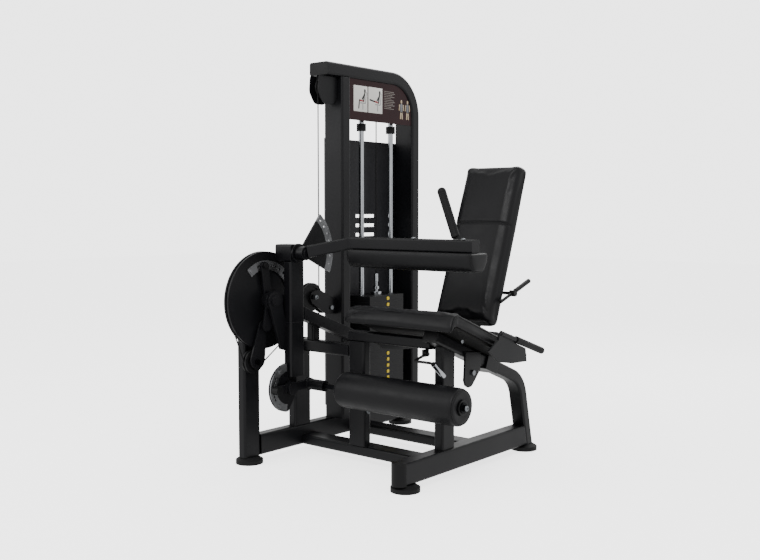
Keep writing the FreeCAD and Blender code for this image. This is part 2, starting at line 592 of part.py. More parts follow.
# ---------------------------------------------------------------- weights
def plate_set(name, first, count):
    low = "stack_low+%d*plate_pitch" % first
    slabs = [box("%s%d" % (name, k), "tower_x-plate_wide/2", "stack_y-plate_deep/2",
                 "%s+%d*plate_pitch" % (low, k), "plate_wide", "plate_deep", "plate_pitch-gap*2")
             for k in range(count)]
    tall = "%d*plate_pitch+20" % count
    tools = [rod(name + "RodA", "Z", "rod_d/2+1", tall, "tower_x", "stack_y-rod_half", low + "-10"),
             rod(name + "RodB", "Z", "rod_d/2+1", tall, "tower_x", "stack_y+rod_half", low + "-10"),
             rod(name + "Stem", "Z", "stem_r+1", tall, "tower_x", "stack_y", low + "-10")]
    tools += [rod("%sPin%d" % (name, k), "X", "pin_d/2+gap", "plate_wide/2+5", "tower_x", "stack_y",
                  "%s+%d.5*plate_pitch" % (low, k)) for k in range(count)]
    return cut(name, group(name + "Slabs", *slabs), *tools)


node(plate_set("RestPlates", 0, int(val("plates_low"))), "rest_plates")
node(plate_set("LiftedPlates", int(val("plates_low")), int(val("plates_up"))), "lifted_plates")
stack_top = "stack_low+(plates_low+plates_up)*plate_pitch-gap*2"
stem = rod("Stem", "Z", "stem_r", "%s-stack_low-6" % stack_top, "tower_x", "stack_y", "stack_low+6")
boss = rod("Boss", "Z", "stem_r*2", "14", "tower_x", "stack_y", stack_top)
screw = rod("Screw", "Z", "7", "70", "tower_x", "stack_y", stack_top)
nut = rod("Nut", "Z", "13", "12", "tower_x", "stack_y", stack_top + "+24")
sleeve = rod("Ferrule", "Z", "9", "34", "tower_x", "stack_y", stack_top + "+56")
stem_holes = [rod("StemHole%d" % k, "X", "pin_d/2+gap", "80", "tower_x-40", "stack_y",
                  "stack_low+%d.5*plate_pitch" % k) for k in range(1, 17)]
node(cut("WeightStem", fuse("StemSolid", stem, boss, screw, nut, sleeve), *stem_holes), "weight_stem")
pin_z = "stack_low+(plates_low+0.5)*plate_pitch"
pin_rod = rod("PinRod", "X", "pin_d/2", "plate_wide/2+stem_r+5", "tower_x-stem_r", "stack_y", pin_z)
pin_knob = rod("PinKnob", "X", "14", "26", "tower_x+plate_wide/2+gap", "stack_y", pin_z)
node(fuse("SelectorPin", pin_rod, pin_knob), "selector_pin")

# ---------------------------------------------------------------- cam and knee shaft
half = "cam_wide/2"
groove = "cam_groove_r-cable_d/2-gap"
slit = "cable_d/2+gap"
rim_in = "cam_r-24"
cam_body = turned("CamDisc", [
    ("shaft_d/2+run_gap", "-" + half), ("cam_hub_r", "-" + half), ("cam_hub_r", half + "-cam_web"),
    (rim_in, half + "-cam_web"), (rim_in, "-" + half), ("cam_r", "-" + half),
    ("cam_r", "-(%s)-2" % slit), (groove, "-(%s)" % slit), (groove, slit), ("cam_r", slit + "+2"),
    ("cam_r", half), ("shaft_d/2+run_gap", half)], "cam_x", "pivot_y", "pivot_z")
node(cam_body, "cam_disc")
rom_x = "cam_x+cam_wide/2"
rom_ring = sector("RomRing", "rom_r", "rom_r-rom_band", "rom_thick", rom_x, "pivot_y", "pivot_z",
                  "arm_pin_at-76.5", "107.5")
rom_holes = ring_rods("RomHole", 8, "arm_pin_at-60", "rom_step", "rom_hole_r", "pin_d/2+gap",
                      "rom_thick+4", "%s-2" % rom_x, "pivot_y", "pivot_z")
rom_bolts = ring_rods("RomBolt", 2, "arm_pin_at-72", "99", "rom_hole_r", "7", "rom_thick+5",
                      rom_x, "pivot_y", "pivot_z")
node(fuse("RomArc", cut("RomPlate", rom_ring, *rom_holes), *rom_bolts), "rom_arc")

shaft_from = "left_x-leg_wide/2-8"
lever_x = "beam_x-beam_wide/2+2"
shaft = rod("KneeShaft", "X", "shaft_d/2", "%s+lever_thick-(%s)" % (lever_x, shaft_from), shaft_from,
            "pivot_y", "pivot_z")
shaft_cap = rod("KneeCap", "X", "shaft_d/2+6", "5", shaft_from, "pivot_y", "pivot_z")
pick_x = "%s+rom_thick+3" % rom_x
pick_hub = rod("PickHub", "X", "shaft_d/2+14", "16", pick_x, "pivot_y", "pivot_z")
pin_y, pin_high = "pivot_y+rom_hole_r*cos(arm_pin_at)", "pivot_z+rom_hole_r*sin(arm_pin_at)"
pick = box("PickBar", pick_x, "0-18", "0", "10", "36", "rom_hole_r+2")
place(pick, pick_x, "pivot_y-18*sin(arm_pin_at)", "pivot_z+18*cos(arm_pin_at)",
      App.Rotation(V(1, 0, 0), val("arm_pin_at") - 90), "arm_pin_at-90")
pick_end = rod("PickEnd", "X", "15", "10", pick_x, pin_y, pin_high)
pick_hole = rod("PickHole", "X", "pin_d/2+run_gap", "40", "%s-10" % pick_x, pin_y, pin_high)
node(cut("ArmShaft", fuse("ArmShaftSolid", shaft, shaft_cap, pick_hub, pick, pick_end), pick_hole),
     "arm_shaft")
arm_pull = rod("ArmPull", "X", "pin_d/2", "rom_thick+3+10-1", "%s+1" % rom_x, pin_y, pin_high)
arm_knob = rod("ArmKnob", "X", "11", "10", "%s+10+gap" % pick_x, pin_y, pin_high)
arm_neck = rod("ArmNeck", "X", "pin_d/2", "5", "%s+8" % pick_x, pin_y, pin_high)
node(fuse("ArmPin", arm_pull, arm_neck, arm_knob), "arm_pin")

arm_front, arm_back = "arm_y-arm_deep/2", "arm_y+arm_deep/2"
bar = tube("ArmBar", "Z", "beam_wide", "arm_deep", "arm_top-arm_low", "beam_x", "arm_y", "arm_low")
node(bar, "arm_bar")
lever_hub = rod("LeverHub", "X", "hub_r", "lever_thick", lever_x, "pivot_y", "pivot_z")
lever_web = plate("LeverWeb", [("pivot_y-hub_r", "pivot_z"), ("pivot_y+hub_r-4", "pivot_z-8"),
                               (arm_front, "arm_top"), (arm_front, "arm_top-108"),
                               (arm_front + "-26", "arm_top-100")], "lever_thick", lever_x)
lever_bore = rod("LeverBore", "X", "shaft_d/2", "60", "%s-20" % lever_x, "pivot_y", "pivot_z")
lever_nut = rod("LeverNut", "X", "shaft_d/2+5", "6", "%s+lever_thick" % lever_x, "pivot_y", "pivot_z")
node(group("ArmLever", cut("LeverCut", fuse("LeverSolid", lever_hub, lever_web), lever_bore), lever_nut),
     "arm_lever")

shin_x = "beam_x-4"
half_disc = sector("HalfDisc", "shin_r", "4", "shin_thick", shin_x, "shin_y", "shin_z", "90", "180")
shin_tab = plate("ShinTab", [("shin_y", "shin_z+shin_r"), (arm_front, "shin_z+shin_r"),
                             (arm_front, "arm_low"), (arm_front + "+46", "arm_low"),
                             (arm_front + "+46", "shin_z-26"), (arm_front, "shin_z-shin_r"),
                             ("shin_y", "shin_z-shin_r")], "shin_thick", shin_x)
shin_bore = rod("ShinBore", "X", "bush_r-9+run_gap", "40", "%s-10" % shin_x, "shin_y", "shin_z")
shin_holes = ring_rods("ShinHole", 7, "150", "rom_step", "shin_hole_r", "pin_d/2+gap", "30",
                       "%s-5" % shin_x, "shin_y", "shin_z")
node(cut("ShinPlate", fuse("ShinSolid", half_disc, shin_tab), shin_bore, *shin_holes), "shin_plate")
ring_x = "%s+shin_thick" % shin_x
shin_ring = sector("ShinRing", "shin_r", "shin_r-shin_band", "5", ring_x, "shin_y", "shin_z", "96", "168")
shin_bolts = ring_rods("ShinBolt", 2, "125", "110", "shin_hole_r", "7", "10", ring_x,
                       "shin_y", "shin_z")
ring_holes = ring_rods("RingHole", 7, "150", "rom_step", "shin_hole_r", "pin_d/2+gap", "30",
                       "%s-5" % shin_x, "shin_y", "shin_z")
node(fuse("ShinArc", cut("ShinRingCut", shin_ring, *ring_holes), *shin_bolts), "shin_arc")

# ---------------------------------------------------------------- crank and roller
crank_from = "%s-8" % shin_x
pointer_x = "%s+5+3" % ring_x
crank_x = "beam_x+beam_wide/2+4"
axle = rod("CrankAxle", "X", "bush_r-9", "%s+crank_thick-(%s)" % (crank_x, crank_from), crank_from,
           "shin_y", "shin_z")
axle_head = rod("CrankHead", "X", "22", "7.7", crank_from, "shin_y", "shin_z")
hub = rod("CrankHub", "X", "25", "%s+crank_thick-(%s)" % (crank_x, pointer_x), pointer_x,
          "shin_y", "shin_z")
pointer = box("Pointer", pointer_x, "shin_y-shin_hole_r", "shin_z-14", "9", "shin_hole_r", "28")
pointer_end = rod("PointerEnd", "X", "14", "9", pointer_x, "shin_y-shin_hole_r", "shin_z")
pointer_hole = rod("PointerHole", "X", "pin_d/2+run_gap", "40", "%s-10" % pointer_x,
                   "shin_y-shin_hole_r", "shin_z")
web = box("CrankWeb", crank_x, "shin_y", "crank_z-crank_tall/2", "crank_thick", "crank_y-shin_y",
          "crank_tall")
web_end = rod("CrankEnd", "X", "crank_tall/2+8", "crank_thick", crank_x, "crank_y", "crank_z")
tube_from = "%s+crank_thick" % crank_x
roller_tube = rod("RollerTube", "X", "roller_tube_d/2", "sleeve_right-(%s)" % tube_from, tube_from,
                  "crank_y", "crank_z")
node(cut("Crank", fuse("CrankSolid", axle, axle_head, hub, pointer, pointer_end, web, web_end,
                       roller_tube), pointer_hole), "crank")
roller_axle = rod("RollerAxle", "X", "roller_shaft_d/2", "roller_right+14-sleeve_right", "sleeve_right",
                  "crank_y", "crank_z")
stop = rod("RollerStop", "X", "20", "8", "roller_left-4-gap-8", "crank_y", "crank_z")
washer = rod("RollerWasher", "X", "19", "4", "roller_right+4+gap", "crank_y", "crank_z")
axle_nut = rod("RollerNut", "X", "12", "8", "roller_right+8+gap", "crank_y", "crank_z")
node(fuse("RollerShaft", roller_axle, stop, washer, axle_nut), "roller_shaft")
foam_out = rod("FoamOut", "X", "roller_d/2", "roller_right-roller_left", "roller_left",
               "crank_y", "crank_z")
foam_bore = rod("FoamBore", "X", "roller_bore/2", "roller_right-roller_left+20", "roller_left-10",
                "crank_y", "crank_z")
node(cut("RollerFoam", foam_out, foam_bore), "roller_foam")
core = rod("CoreOut", "X", "roller_bore/2", "roller_right-roller_left+8", "roller_left-4",
           "crank_y", "crank_z")
lips = [rod("CoreLip%d" % k, "X", "27", "4", x, "crank_y", "crank_z")
        for k, x in enumerate(("roller_left-4", "roller_right"))]
core_bore = rod("CoreBore", "X", "roller_shaft_d/2+run_gap", "roller_right-roller_left+40",
                "roller_left-20", "crank_y", "crank_z")
node(cut("RollerCore", fuse("CoreSolid", core, *lips), core_bore), "roller_core")
crank_pull = rod("CrankPull", "X", "pin_d/2", "30", "%s-7" % pointer_x, "shin_y-shin_hole_r", "shin_z")
crank_knob = rod("CrankKnob", "X", "16", "22", "%s+9+gap" % pointer_x, "shin_y-shin_hole_r", "shin_z")
node(fuse("CrankPin", crank_pull, crank_knob), "crank_pin")

# ---------------------------------------------------------------- thigh arm
index_x = "%s+fan_thick+2" % fan_x
thigh_axle = rod("ThighAxle", "X", "shaft_d/2", "%s+40-(housing_left+16)" % index_x, "housing_left+16",
                 "thigh_y", "thigh_z")
thigh_hub = rod("ThighHub", "X", "thigh_hub_r", "38", index_x, "thigh_y", "thigh_z")
reach = "fan_r-fan_band/2"
tip_y, tip_z = "thigh_y+(%s)*cos(thigh_pin_at)" % reach, "thigh_z+(%s)*sin(thigh_pin_at)" % reach
index = box("Index", index_x, "0", "0", "8", "32", reach)
place(index, index_x, "thigh_y-16*sin(thigh_pin_at)", "thigh_z+16*cos(thigh_pin_at)",
      App.Rotation(V(-1, 0, 0), 90 - val("thigh_pin_at")), "90-thigh_pin_at")
index_end = rod("IndexEnd", "X", "16", "8", index_x, tip_y, tip_z)
index_hole = rod("IndexHole", "X", "pin_d/2+run_gap", "40", "%s-10" % index_x, tip_y, tip_z)
elbow = [spot("bar_right", "bar_y", "bar_z"), spot("bar_left", "bar_y", "bar_z"),
         spot("%s+30" % index_x, "thigh_y+16", "thigh_z+5")]


def square_sweep(name, corners, size, wall):
    """A square tube along straight runs with tight bends."""
    edges = wire_through(corners, size * 0.9)
    wire = Part.Wire([edge.toShape() for edge in edges])
    along = (corners[1] - corners[0]).normalize()
    up = V(0, 0, 1)
    side = along.cross(up).normalize()
    up = side.cross(along).normalize()
    outer = wire.makePipeShell([rounded_wire(corners[0], side, up, size / 2, size / 2, 6)], True, False)
    inner = wire.makePipeShell([rounded_wire(corners[0], side, up, size / 2 - wall, size / 2 - wall, 3)],
                               True, False)
    obj = doc.addObject("Part::Feature", name)
    obj.Shape = outer.cut(inner)
    return obj


thigh_bar = square_sweep("ThighBar", elbow, val("bar_size"), val("wall"))
bar_cap = box("BarCap", "bar_right-3", "bar_y-bar_size/2+1", "bar_z-bar_size/2+1", "3", "bar_size-2",
              "bar_size-2")
thigh_hub_solid = fuse("ThighHubSolid", thigh_hub, thigh_axle, index, index_end)
node(cut("ThighArm", fuse("ThighArmSolid", thigh_hub_solid, thigh_bar, bar_cap), index_hole), "thigh_arm")
pad_top = "bar_z-bar_size/2"
pad_profile = [("bar_y-52", pad_top), ("bar_y+53", pad_top), ("bar_y+53", pad_top + "-26"),
               ("bar_y+40", pad_top + "-52"), ("bar_y+20", pad_top + "-thigh_pad_tall"),
               ("bar_y-20", pad_top + "-thigh_pad_tall"), ("bar_y-40", pad_top + "-52"),
               ("bar_y-52", pad_top + "-26")]
node(plate("ThighPad", pad_profile, "bar_right-bar_left", "bar_left+18"), "thigh_pad")
grip_long = "grip_reach"
grip_x = "bar_right-80"
dome = [("15*cos(%d)" % a, "%s+15*sin(%d)" % (grip_long, a)) for a in range(0, 90, 18)]
grip = turned("ThighGripBar", [("0", "-8"), ("15", "-8")] + dome + [("0", grip_long + "+15")],
              grip_x, "bar_y", "bar_z+bar_size/2", App.Rotation(V(0, -1, 0), 21.2))
grip_foot = rod("GripFoot", "Z", "20", "8", grip_x, "bar_y", "bar_z+bar_size/2")
grip_trim = box("GripTrim", grip_x + "-80", "bar_y-60", "bar_z", "160", "120", "bar_size/2")
node(cut("ThighGrip", fuse("GripSolid", grip, grip_foot), grip_trim), "thigh_grip")
thigh_pull = rod("ThighPull", "X", "pin_d/2", "24", "%s-8" % index_x, tip_y, tip_z)
thigh_knob = rod("ThighKnob", "X", "12", "24", "%s+8+gap" % index_x, tip_y, tip_z)
node(fuse("ThighPin", thigh_pull, thigh_knob), "thigh_pin")

# ---------------------------------------------------------------- seat
seat_from = "seat_mid-seat_wide/2"
front_s, rear_s = "-(rail_ref_y-seat_front)/cos(tilt)", "seat_long-(rail_ref_y-seat_front)/cos(tilt)"
board_outline = [on_rail(front_s + "+22", "0"), on_rail(rear_s, "0"), on_rail(rear_s, "board"),
                 on_rail(front_s + "+22", "board")]
node(plate("SeatBoard", board_outline, "seat_wide-16", seat_from + "+8"), "seat_board")
pad_n = "board+seat_pad"
seat_outline = [on_rail(rear_s, "board"), on_rail(rear_s, pad_n + "-8"), on_rail(rear_s + "-8", pad_n),
                on_rail(front_s + "+14", pad_n), on_rail(front_s, pad_n + "-10"),
                on_rail(front_s + "-8", "board+12"), on_rail(front_s + "-6", "board-20"),
                on_rail(front_s + "+4", pad_n + "-seat_roll-6"),
                on_rail(front_s + "+14", pad_n + "-seat_roll"), on_rail(front_s + "+21", "board-6"),
                on_rail(front_s + "+22", "board")]
node(plate("SeatPad", seat_outline, "seat_wide", seat_from), "seat_pad")

# ---------------------------------------------------------------- sliding back
back_from = "back_mid-back_wide/2"
wrap = "7"
sleeve_box = plate("Sleeve", [on_rail(s, n) for s, n in (
    (rear_s + "+6", wrap), (rear_s + "+84", wrap), (rear_s + "+84", "-rail_thick-" + wrap),
    (rear_s + "+6", "-rail_thick-" + wrap))], "spine_wide+16", "-spine_wide/2-8")
rail_clear = plate("RailClear", [on_rail(s, n) for s, n in (
    (rear_s + "-60", "gap"), (rear_s + "+160", "gap"), (rear_s + "+160", "-rail_thick-gap"),
    (rear_s + "-60", "-rail_thick-gap"))], "spine_wide+2*gap", "-spine_wide/2-gap")
board_back = "back_pad+12"
post_deep = "28"
back_post = plate("BackPost", [on_back("-50", board_back), on_back("420", board_back),
                               on_back("420", "%s+%s" % (board_back, post_deep)),
                               on_back("-50", "%s+%s+10" % (board_back, post_deep))],
                  "50", "back_mid-25")
back_link = plate("BackLink", [on_back("-50", board_back), on_back("-14", board_back),
                               on_back("-14", board_back + "+38"), on_back("-50", board_back + "+38")],
                  "25-(back_mid-25)", "back_mid-25")
slide_post = plate("SlidePost", [on_back("-118", board_back + "+2"), on_back("-14", board_back),
                                 on_back("-14", board_back + "+38"), on_rail(rear_s + "+84", "2"),
                                 on_rail(rear_s + "+30", "2")], "50", "-25")
side_x = ("back_mid-handle_out", "back_mid+handle_out")
cross_y, cross_z = on_rail(rear_s + "+45", "21")
cross_bar = rod("HandleCross", "X", "15", "2*handle_out", side_x[0], cross_y, cross_z)
grip_start, grip_finish = ("337", "526"), ("617", "433")
sides, cores = [], []
for k, x in enumerate(side_x):
    sides.append(plate("HandlePlate%d" % k, [
        ("262", "470"), ("324", "503"), ("330", "524"), ("410", "513"), ("425", "483"), ("505", "454"),
        ("514", "404"), ("412", "408"), ("320", "424")], "8", x + ("" if k == 0 else "-8")))
    cores.append(round_bar("HandleCore%d" % k, [spot(x, *grip_start), spot(x, *grip_finish)], 0, 9))
lever_y_back, lever_z_back = "601", "644"
lever_from = "back_mid+20"
lever_pivot = rod("BackLeverPin", "X", "6", "57.6-(%s)" % lever_from, lever_from, lever_y_back, lever_z_back)
lever_cap = rod("BackLeverCap", "X", "11", "3", "57.6", lever_y_back, lever_z_back)
bare = fuse("CarriageSolid", sleeve_box, slide_post, back_link, back_post, cross_bar, lever_pivot,
            lever_cap, *sides, *cores)
node(cut("Carriage", bare, rail_clear), "carriage")
board_low, board_high = "60", "back_long-70"
node(plate("BackBoard", [on_back(board_low, "back_pad"), on_back(board_high, "back_pad"),
                         on_back(board_high, board_back), on_back(board_low, board_back)],
           "back_plate_wide", "back_mid-back_plate_wide/2"), "back_board")
back_outline = [on_back("0", "12"), on_back("0", "back_pad"), on_back("back_long", "back_pad"),
                on_back("back_long", "14"), on_back("back_long-12", "2"), on_back("back_long-24", "0"),
                on_back("16", "0")]
node(plate("BackPad", back_outline, "back_wide", back_from), "back_pad")
grips = []
for k, x in enumerate(side_x):
    solid = round_bar("HandleSleeve%d" % k, [spot(x, "436", "493.1"), spot(x, "619", "432.3")], 0, 13)
    core = round_bar("HandleSpace%d" % k, [spot(x, *grip_start), spot(x, *grip_finish)], 0, 9)
    grips.append(cut("HandleGrip%d" % k, solid, core))
node(group("SideHandles", *grips), "side_handles")
lever_rod = round_bar("BackLeverBar", [spot("44", "520", "616.1"), spot("44", "706", "680")], 0, 6)
lever_grip = round_bar("BackLeverGrip", [spot("44", "622", "651.2"), spot("44", "722", "685.5")], 0, 9)
lever_boss = rod("BackLeverBoss", "X", "12", "22", "35.3", lever_y_back, lever_z_back)
lever_hole = rod("BackLeverBore", "X", "6+run_gap", "60", "15", lever_y_back, lever_z_back)
node(cut("BackLever", fuse("BackLeverSolid", lever_rod, lever_grip, lever_boss), lever_hole), "back_lever")

seat_lever_arm = round_bar("SeatLeverArm", [spot("-38", lever_y, lever_z), spot("-38", "98", "434"),
                                            spot("36", "98", "434"), spot("36", "112", "427")], 10, 5)
seat_lever_boss = rod("SeatLeverBoss", "X", "10", "8", "-42", lever_y, lever_z)
seat_lever_grip = round_bar("SeatLeverGrip", [spot("36", "108", "430.3"), spot("36", "170", "379")], 0, 9)
seat_lever_bore = rod("SeatLeverBore", "X", "4+run_gap", "30", "-52", lever_y, lever_z)
node(cut("SeatLever", fuse("SeatLeverSolid", seat_lever_arm, seat_lever_boss, seat_lever_grip),
         seat_lever_bore), "seat_lever")

# ---------------------------------------------------------------- pulleys and their brackets
PULLEYS = (("low_pulley", "low_pulley_r", "low_pulley_y", "low_pulley_z"),
           ("turn_pulley", "turn_pulley_r", "turn_pulley_y", "turn_pulley_z"),
           ("front_pulley", "top_pulley_r", "near_y-tower_thick/2-11-top_pulley_r", "top_pulley_z"),
           ("rear_pulley", "top_pulley_r", "stack_y-top_pulley_r", "top_pulley_z"))
for label, radius, y, z in PULLEYS:
    node(sheave(label.title().replace("_", ""), radius, y, z), label)

front_face, under_top = "near_y-tower_thick/2", "tower_top-tower_thick"
front_y, roll_y = PULLEYS[2][2], PULLEYS[3][2]
HANGERS = (
    [("turn_pulley_y+40", "turn_pulley_z+26"), (front_face, "596"), (front_face, "540"),
     ("turn_pulley_y+70", "545"),
     ("turn_pulley_y-9", "turn_pulley_z-24"), ("turn_pulley_y-19", "turn_pulley_z"),
     ("turn_pulley_y-9", "turn_pulley_z+20"), ("turn_pulley_y+12", "turn_pulley_z+26")],
    [("tower_nose+3", under_top), (front_face + "-2", under_top), (front_face + "-5", "top_pulley_z-4"),
     (front_y + "+16", "top_pulley_z-26"), (front_y, "top_pulley_z-31"),
     (front_y + "-16", "top_pulley_z-26"), (front_y + "-30", "top_pulley_z-4")],
    [(roll_y + "-38", under_top), (roll_y + "+40", under_top), (roll_y + "+26", "top_pulley_z-8"),
     (roll_y + "+14", "top_pulley_z-27"), (roll_y, "top_pulley_z-32"),
     (roll_y + "-14", "top_pulley_z-27"), (roll_y + "-26", "top_pulley_z-8")])
side_in, side_thick = "pulley_wide/2+3", "4"
hangers, axles = [], []
for k, outline in enumerate(HANGERS):
    label, radius, y, z = PULLEYS[k + 1]
    for j, x in enumerate(("cam_x-(%s)-%s" % (side_in, side_thick), "cam_x+%s" % side_in)):
        sheet_metal = plate("Hanger%d%d" % (k, j), outline, side_thick, x)
        bore = rod("HangerBore%d%d" % (k, j), "X", "axle_d/2+run_gap", "20", x + "-8", y, z)
        hangers.append(cut("HangerCut%d%d" % (k, j), sheet_metal, bore))
    axle_from = "cam_x-(%s)-%s-4" % (side_in, side_thick)
    parts = [rod("PulleyAxle%d" % k, "X", "axle_d/2", "pulley_wide+6+2*%s+8" % side_thick, axle_from, y, z)]
    for j, (x, wide, thick) in enumerate(((axle_from, "10", "4"), ("cam_x+%s+%s" % (side_in, side_thick), "10", "4"),
                                          ("cam_x-(%s)" % side_in, "9", "2.6"),
                                          ("cam_x+pulley_wide/2+0.4", "9", "2.6"))):
        parts.append(rod("AxleStep%d%d" % (k, j), "X", wide, thick, x, y, z))
    axles.append(fuse("AxleSet%d" % k, *parts))
leg_face = "left_x+leg_wide/2"
guard_x, guard_thick = "cam_x+22", "6"
axles.append(fuse("AxleLow", rod("LowAxle", "X", "axle_d/2", "%s+%s+6-(%s)" % (guard_x, guard_thick, leg_face),
                                 leg_face, "low_pulley_y", "low_pulley_z"),
                  rod("LowStep", "X", "10", "cam_x-pulley_wide/2-0.5-(%s)" % leg_face, leg_face,
                      "low_pulley_y", "low_pulley_z"),
                  rod("LowSpacer", "X", "9", "%s-cam_x-pulley_wide/2-0.4" % guard_x,
                      "cam_x+pulley_wide/2+0.4", "low_pulley_y", "low_pulley_z"),
                  rod("LowHead", "X", "11", "6", "%s+%s" % (guard_x, guard_thick), "low_pulley_y",
                      "low_pulley_z")))
guard_low = rod("GuardLow", "X", "35", guard_thick, guard_x, "low_pulley_y+4", "low_pulley_z+8")
guard_high = rod("GuardHigh", "X", "19", guard_thick, guard_x, drop_y, drop_z)
guard_web = plate("GuardWeb", [("low_pulley_y-30", "low_pulley_z+16"), ("low_pulley_y+38", "low_pulley_z"),
                               (drop_y + "+18", drop_z + "-6"), (drop_y + "-18", drop_z + "+6")],
                  guard_thick, guard_x)
guard_bore = rod("GuardBore", "X", "axle_d/2+run_gap", "30", guard_x + "-10", "low_pulley_y",
                 "low_pulley_z")
hangers.append(cut("PulleyGuard", fuse("GuardSolid", guard_low, guard_high, guard_web), guard_bore))
node(group("PulleyBrackets", *hangers), "pulley_brackets")
node(group("PulleyAxles", *axles), "pulley_axles")

# ---------------------------------------------------------------- cable
def centre_of(k):
    return V(val("cam_x"), val(PULLEYS[k][2]), val(PULLEYS[k][3]))


def tangent(one, two):
    """Where a cable leaves one wheel and meets the next: side is +1 with the wheel on its left."""
    (c1, r1, side1), (c2, r2, side2) = one, two
    gap_y, gap_z = c2.y - c1.y, c2.z - c1.z
    offset = side2 * r2 - side1 * r1
    far = math.hypot(gap_y, gap_z)
    turn = math.atan2(gap_z, gap_y) - math.asin(offset / far)
    left = V(0, -math.sin(turn), math.cos(turn))
    return c1 - left * (side1 * r1), c2 - left * (side2 * r2)


def wrap_arc(wheel, enter, leave):
    centre, radius = wheel[0], wheel[1]
    middle = centre + ((enter - centre) + (leave - centre)).normalize() * radius
    return Part.Arc(enter, middle, leave)


cam_centre = spot("cam_x", "pivot_y", "pivot_z")
wheels = [(cam_centre, val("cam_groove_r"), 1)]
wheels += [(centre_of(k), val(PULLEYS[k][1]), side) for k, side in ((0, 1), (1, 1), (2, -1), (3, -1))]
joins = [tangent(wheels[k], wheels[k + 1]) for k in range(4)]
lift_top = spot("cam_x", "stack_y", "top_pulley_z")
route = []
for k in range(4):
    route.append(Part.LineSegment(joins[k][0], joins[k][1]))
    leave = joins[k + 1][0] if k < 3 else lift_top
    route.append(wrap_arc(wheels[k + 1], joins[k][1], leave))
cable_r = val("cable_d") / 2
node(round_sweep("CableRun", route, cable_r), "cable_run")
anchor = cam_centre + V(0, math.cos(math.radians(100)), math.sin(math.radians(100))) * wheels[0][1]
last = joins[0][0] - cam_centre
near = math.atan2(last.z, last.y) - math.radians(0.1)
last = cam_centre + V(0, math.cos(near), math.sin(near)) * wheels[0][1]
node(round_sweep("CamCable", [wrap_arc(wheels[0], last, anchor)], cable_r), "cam_cable")
lift_low = "%s+90" % stack_top
node(rod("CableLift", "Z", "cable_d/2", "top_pulley_z-0.3-(%s)" % lift_low, "tower_x", "stack_y", lift_low),
     "cable_lift")

# ---------------------------------------------------------------- bushes, caps and bolts
bushes = []
for k, (x, long) in enumerate((("left_x-leg_wide/2", "leg_wide"), ("bearing_x-bearing_thick/2", "bearing_thick"))):
    body = rod("BushBody%d" % k, "X", "bush_r", long, x, "pivot_y", "pivot_z")
    flange = rod("BushFlange%d" % k, "X", "bush_r+7", "2.5", x + "-2.5", "pivot_y", "pivot_z")
    bore = rod("BushBore%d" % k, "X", "shaft_d/2+run_gap", "80", x + "-20", "pivot_y", "pivot_z")
    bushes.append(cut("Bush%d" % k, fuse("BushSolid%d" % k, body, flange), bore))
for k, x in enumerate(("housing_left+20", "beam_x+beam_wide/2-12")):
    body = rod("ThighBushBody%d" % k, "X", "bush_r", "12", x, "thigh_y", "thigh_z")
    bore = rod("ThighBushBore%d" % k, "X", "shaft_d/2+run_gap", "40", x + "-10", "thigh_y", "thigh_z")
    bushes.append(cut("ThighBush%d" % k, body, bore))
node(group("Bearings", *bushes), "bearings")

nose_cap = tube("NoseCap", "Y", "tower_wide", "tower_thick", "3", "tower_x", "tower_nose-3",
                "tower_top-tower_thick/2", False)
leg_cap = tube("LegCap", "Z", "leg_wide", "leg_deep", "3", "left_x", "leg_y", "leg_top", False)
housing_cap = tube("HousingCap", "X", "housing_deep", "housing_tall", "2", "housing_left-2", "thigh_y",
                   "thigh_z", False)
round_caps = []
for name, wide, x, y, trim in (("SpineCap", "spine_wide", "0", "spine_front+spine_wide/2", "0"),
                               ("LeftCap", "left_wide", "left_x", "left_rear-left_wide/2", "-100")):
    full = rod(name + "Round", "Z", wide + "/2", "base_tall", x, y, "foot_tall")
    away = box(name + "Trim", x + "-60", "%s+(%s)" % (y, trim), "0", "120", "100", "200")
    round_caps.append(cut(name, full, away))
front_cap = plate("RailCap", [on_rail("(rail_front-rail_ref_y)/cos(tilt)" + d, n) for d, n in (
    ("", "0"), ("", "-rail_thick"), ("-3", "-rail_thick"), ("-3", "0"))], "spine_wide", "-spine_wide/2")
node(group("EndCaps", nose_cap, leg_cap, housing_cap, front_cap, *round_caps), "end_caps")

heads = [rod("HangBolt", "X", "10", "7", "spine_wide/2+8", "347", "369"),
         rod("HangerBolt", "X", "9", "6", "cam_x+%s+%s" % (side_in, side_thick), "318", "568"),
         rod("SleeveBolt", "X", "9", "7", "left_post_x+left_post_wide/2", "mid_y", "200")]
node(group("FrameBolts", *heads), "frame_bolts")

# ---------------------------------------------------------------- check and write out
doc.recompute()
faults = []
for obj in doc.Objects:
    if "Invalid" in obj.State or "Error" in obj.State:
        faults.append("%s: %s" % (obj.Name, obj.State))
for obj in NODES:
    if obj.Shape.isNull() or not obj.Shape.isValid() or not obj.Shape.Solids:
        faults.append("%s: bad shape" % obj.Label)
if faults:
    raise RuntimeError("; ".join(faults))
os.makedirs("parts", exist_ok=True)
for obj in NODES:
    obj.Shape.exportStep("parts/%s.step" % obj.Label)
print("%d parts written" % len(NODES))
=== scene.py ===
import json
import math
import bmesh
import bpy
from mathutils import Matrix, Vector
from mathutils.bvhtree import BVHTree
from mathutils.kdtree import KDTree


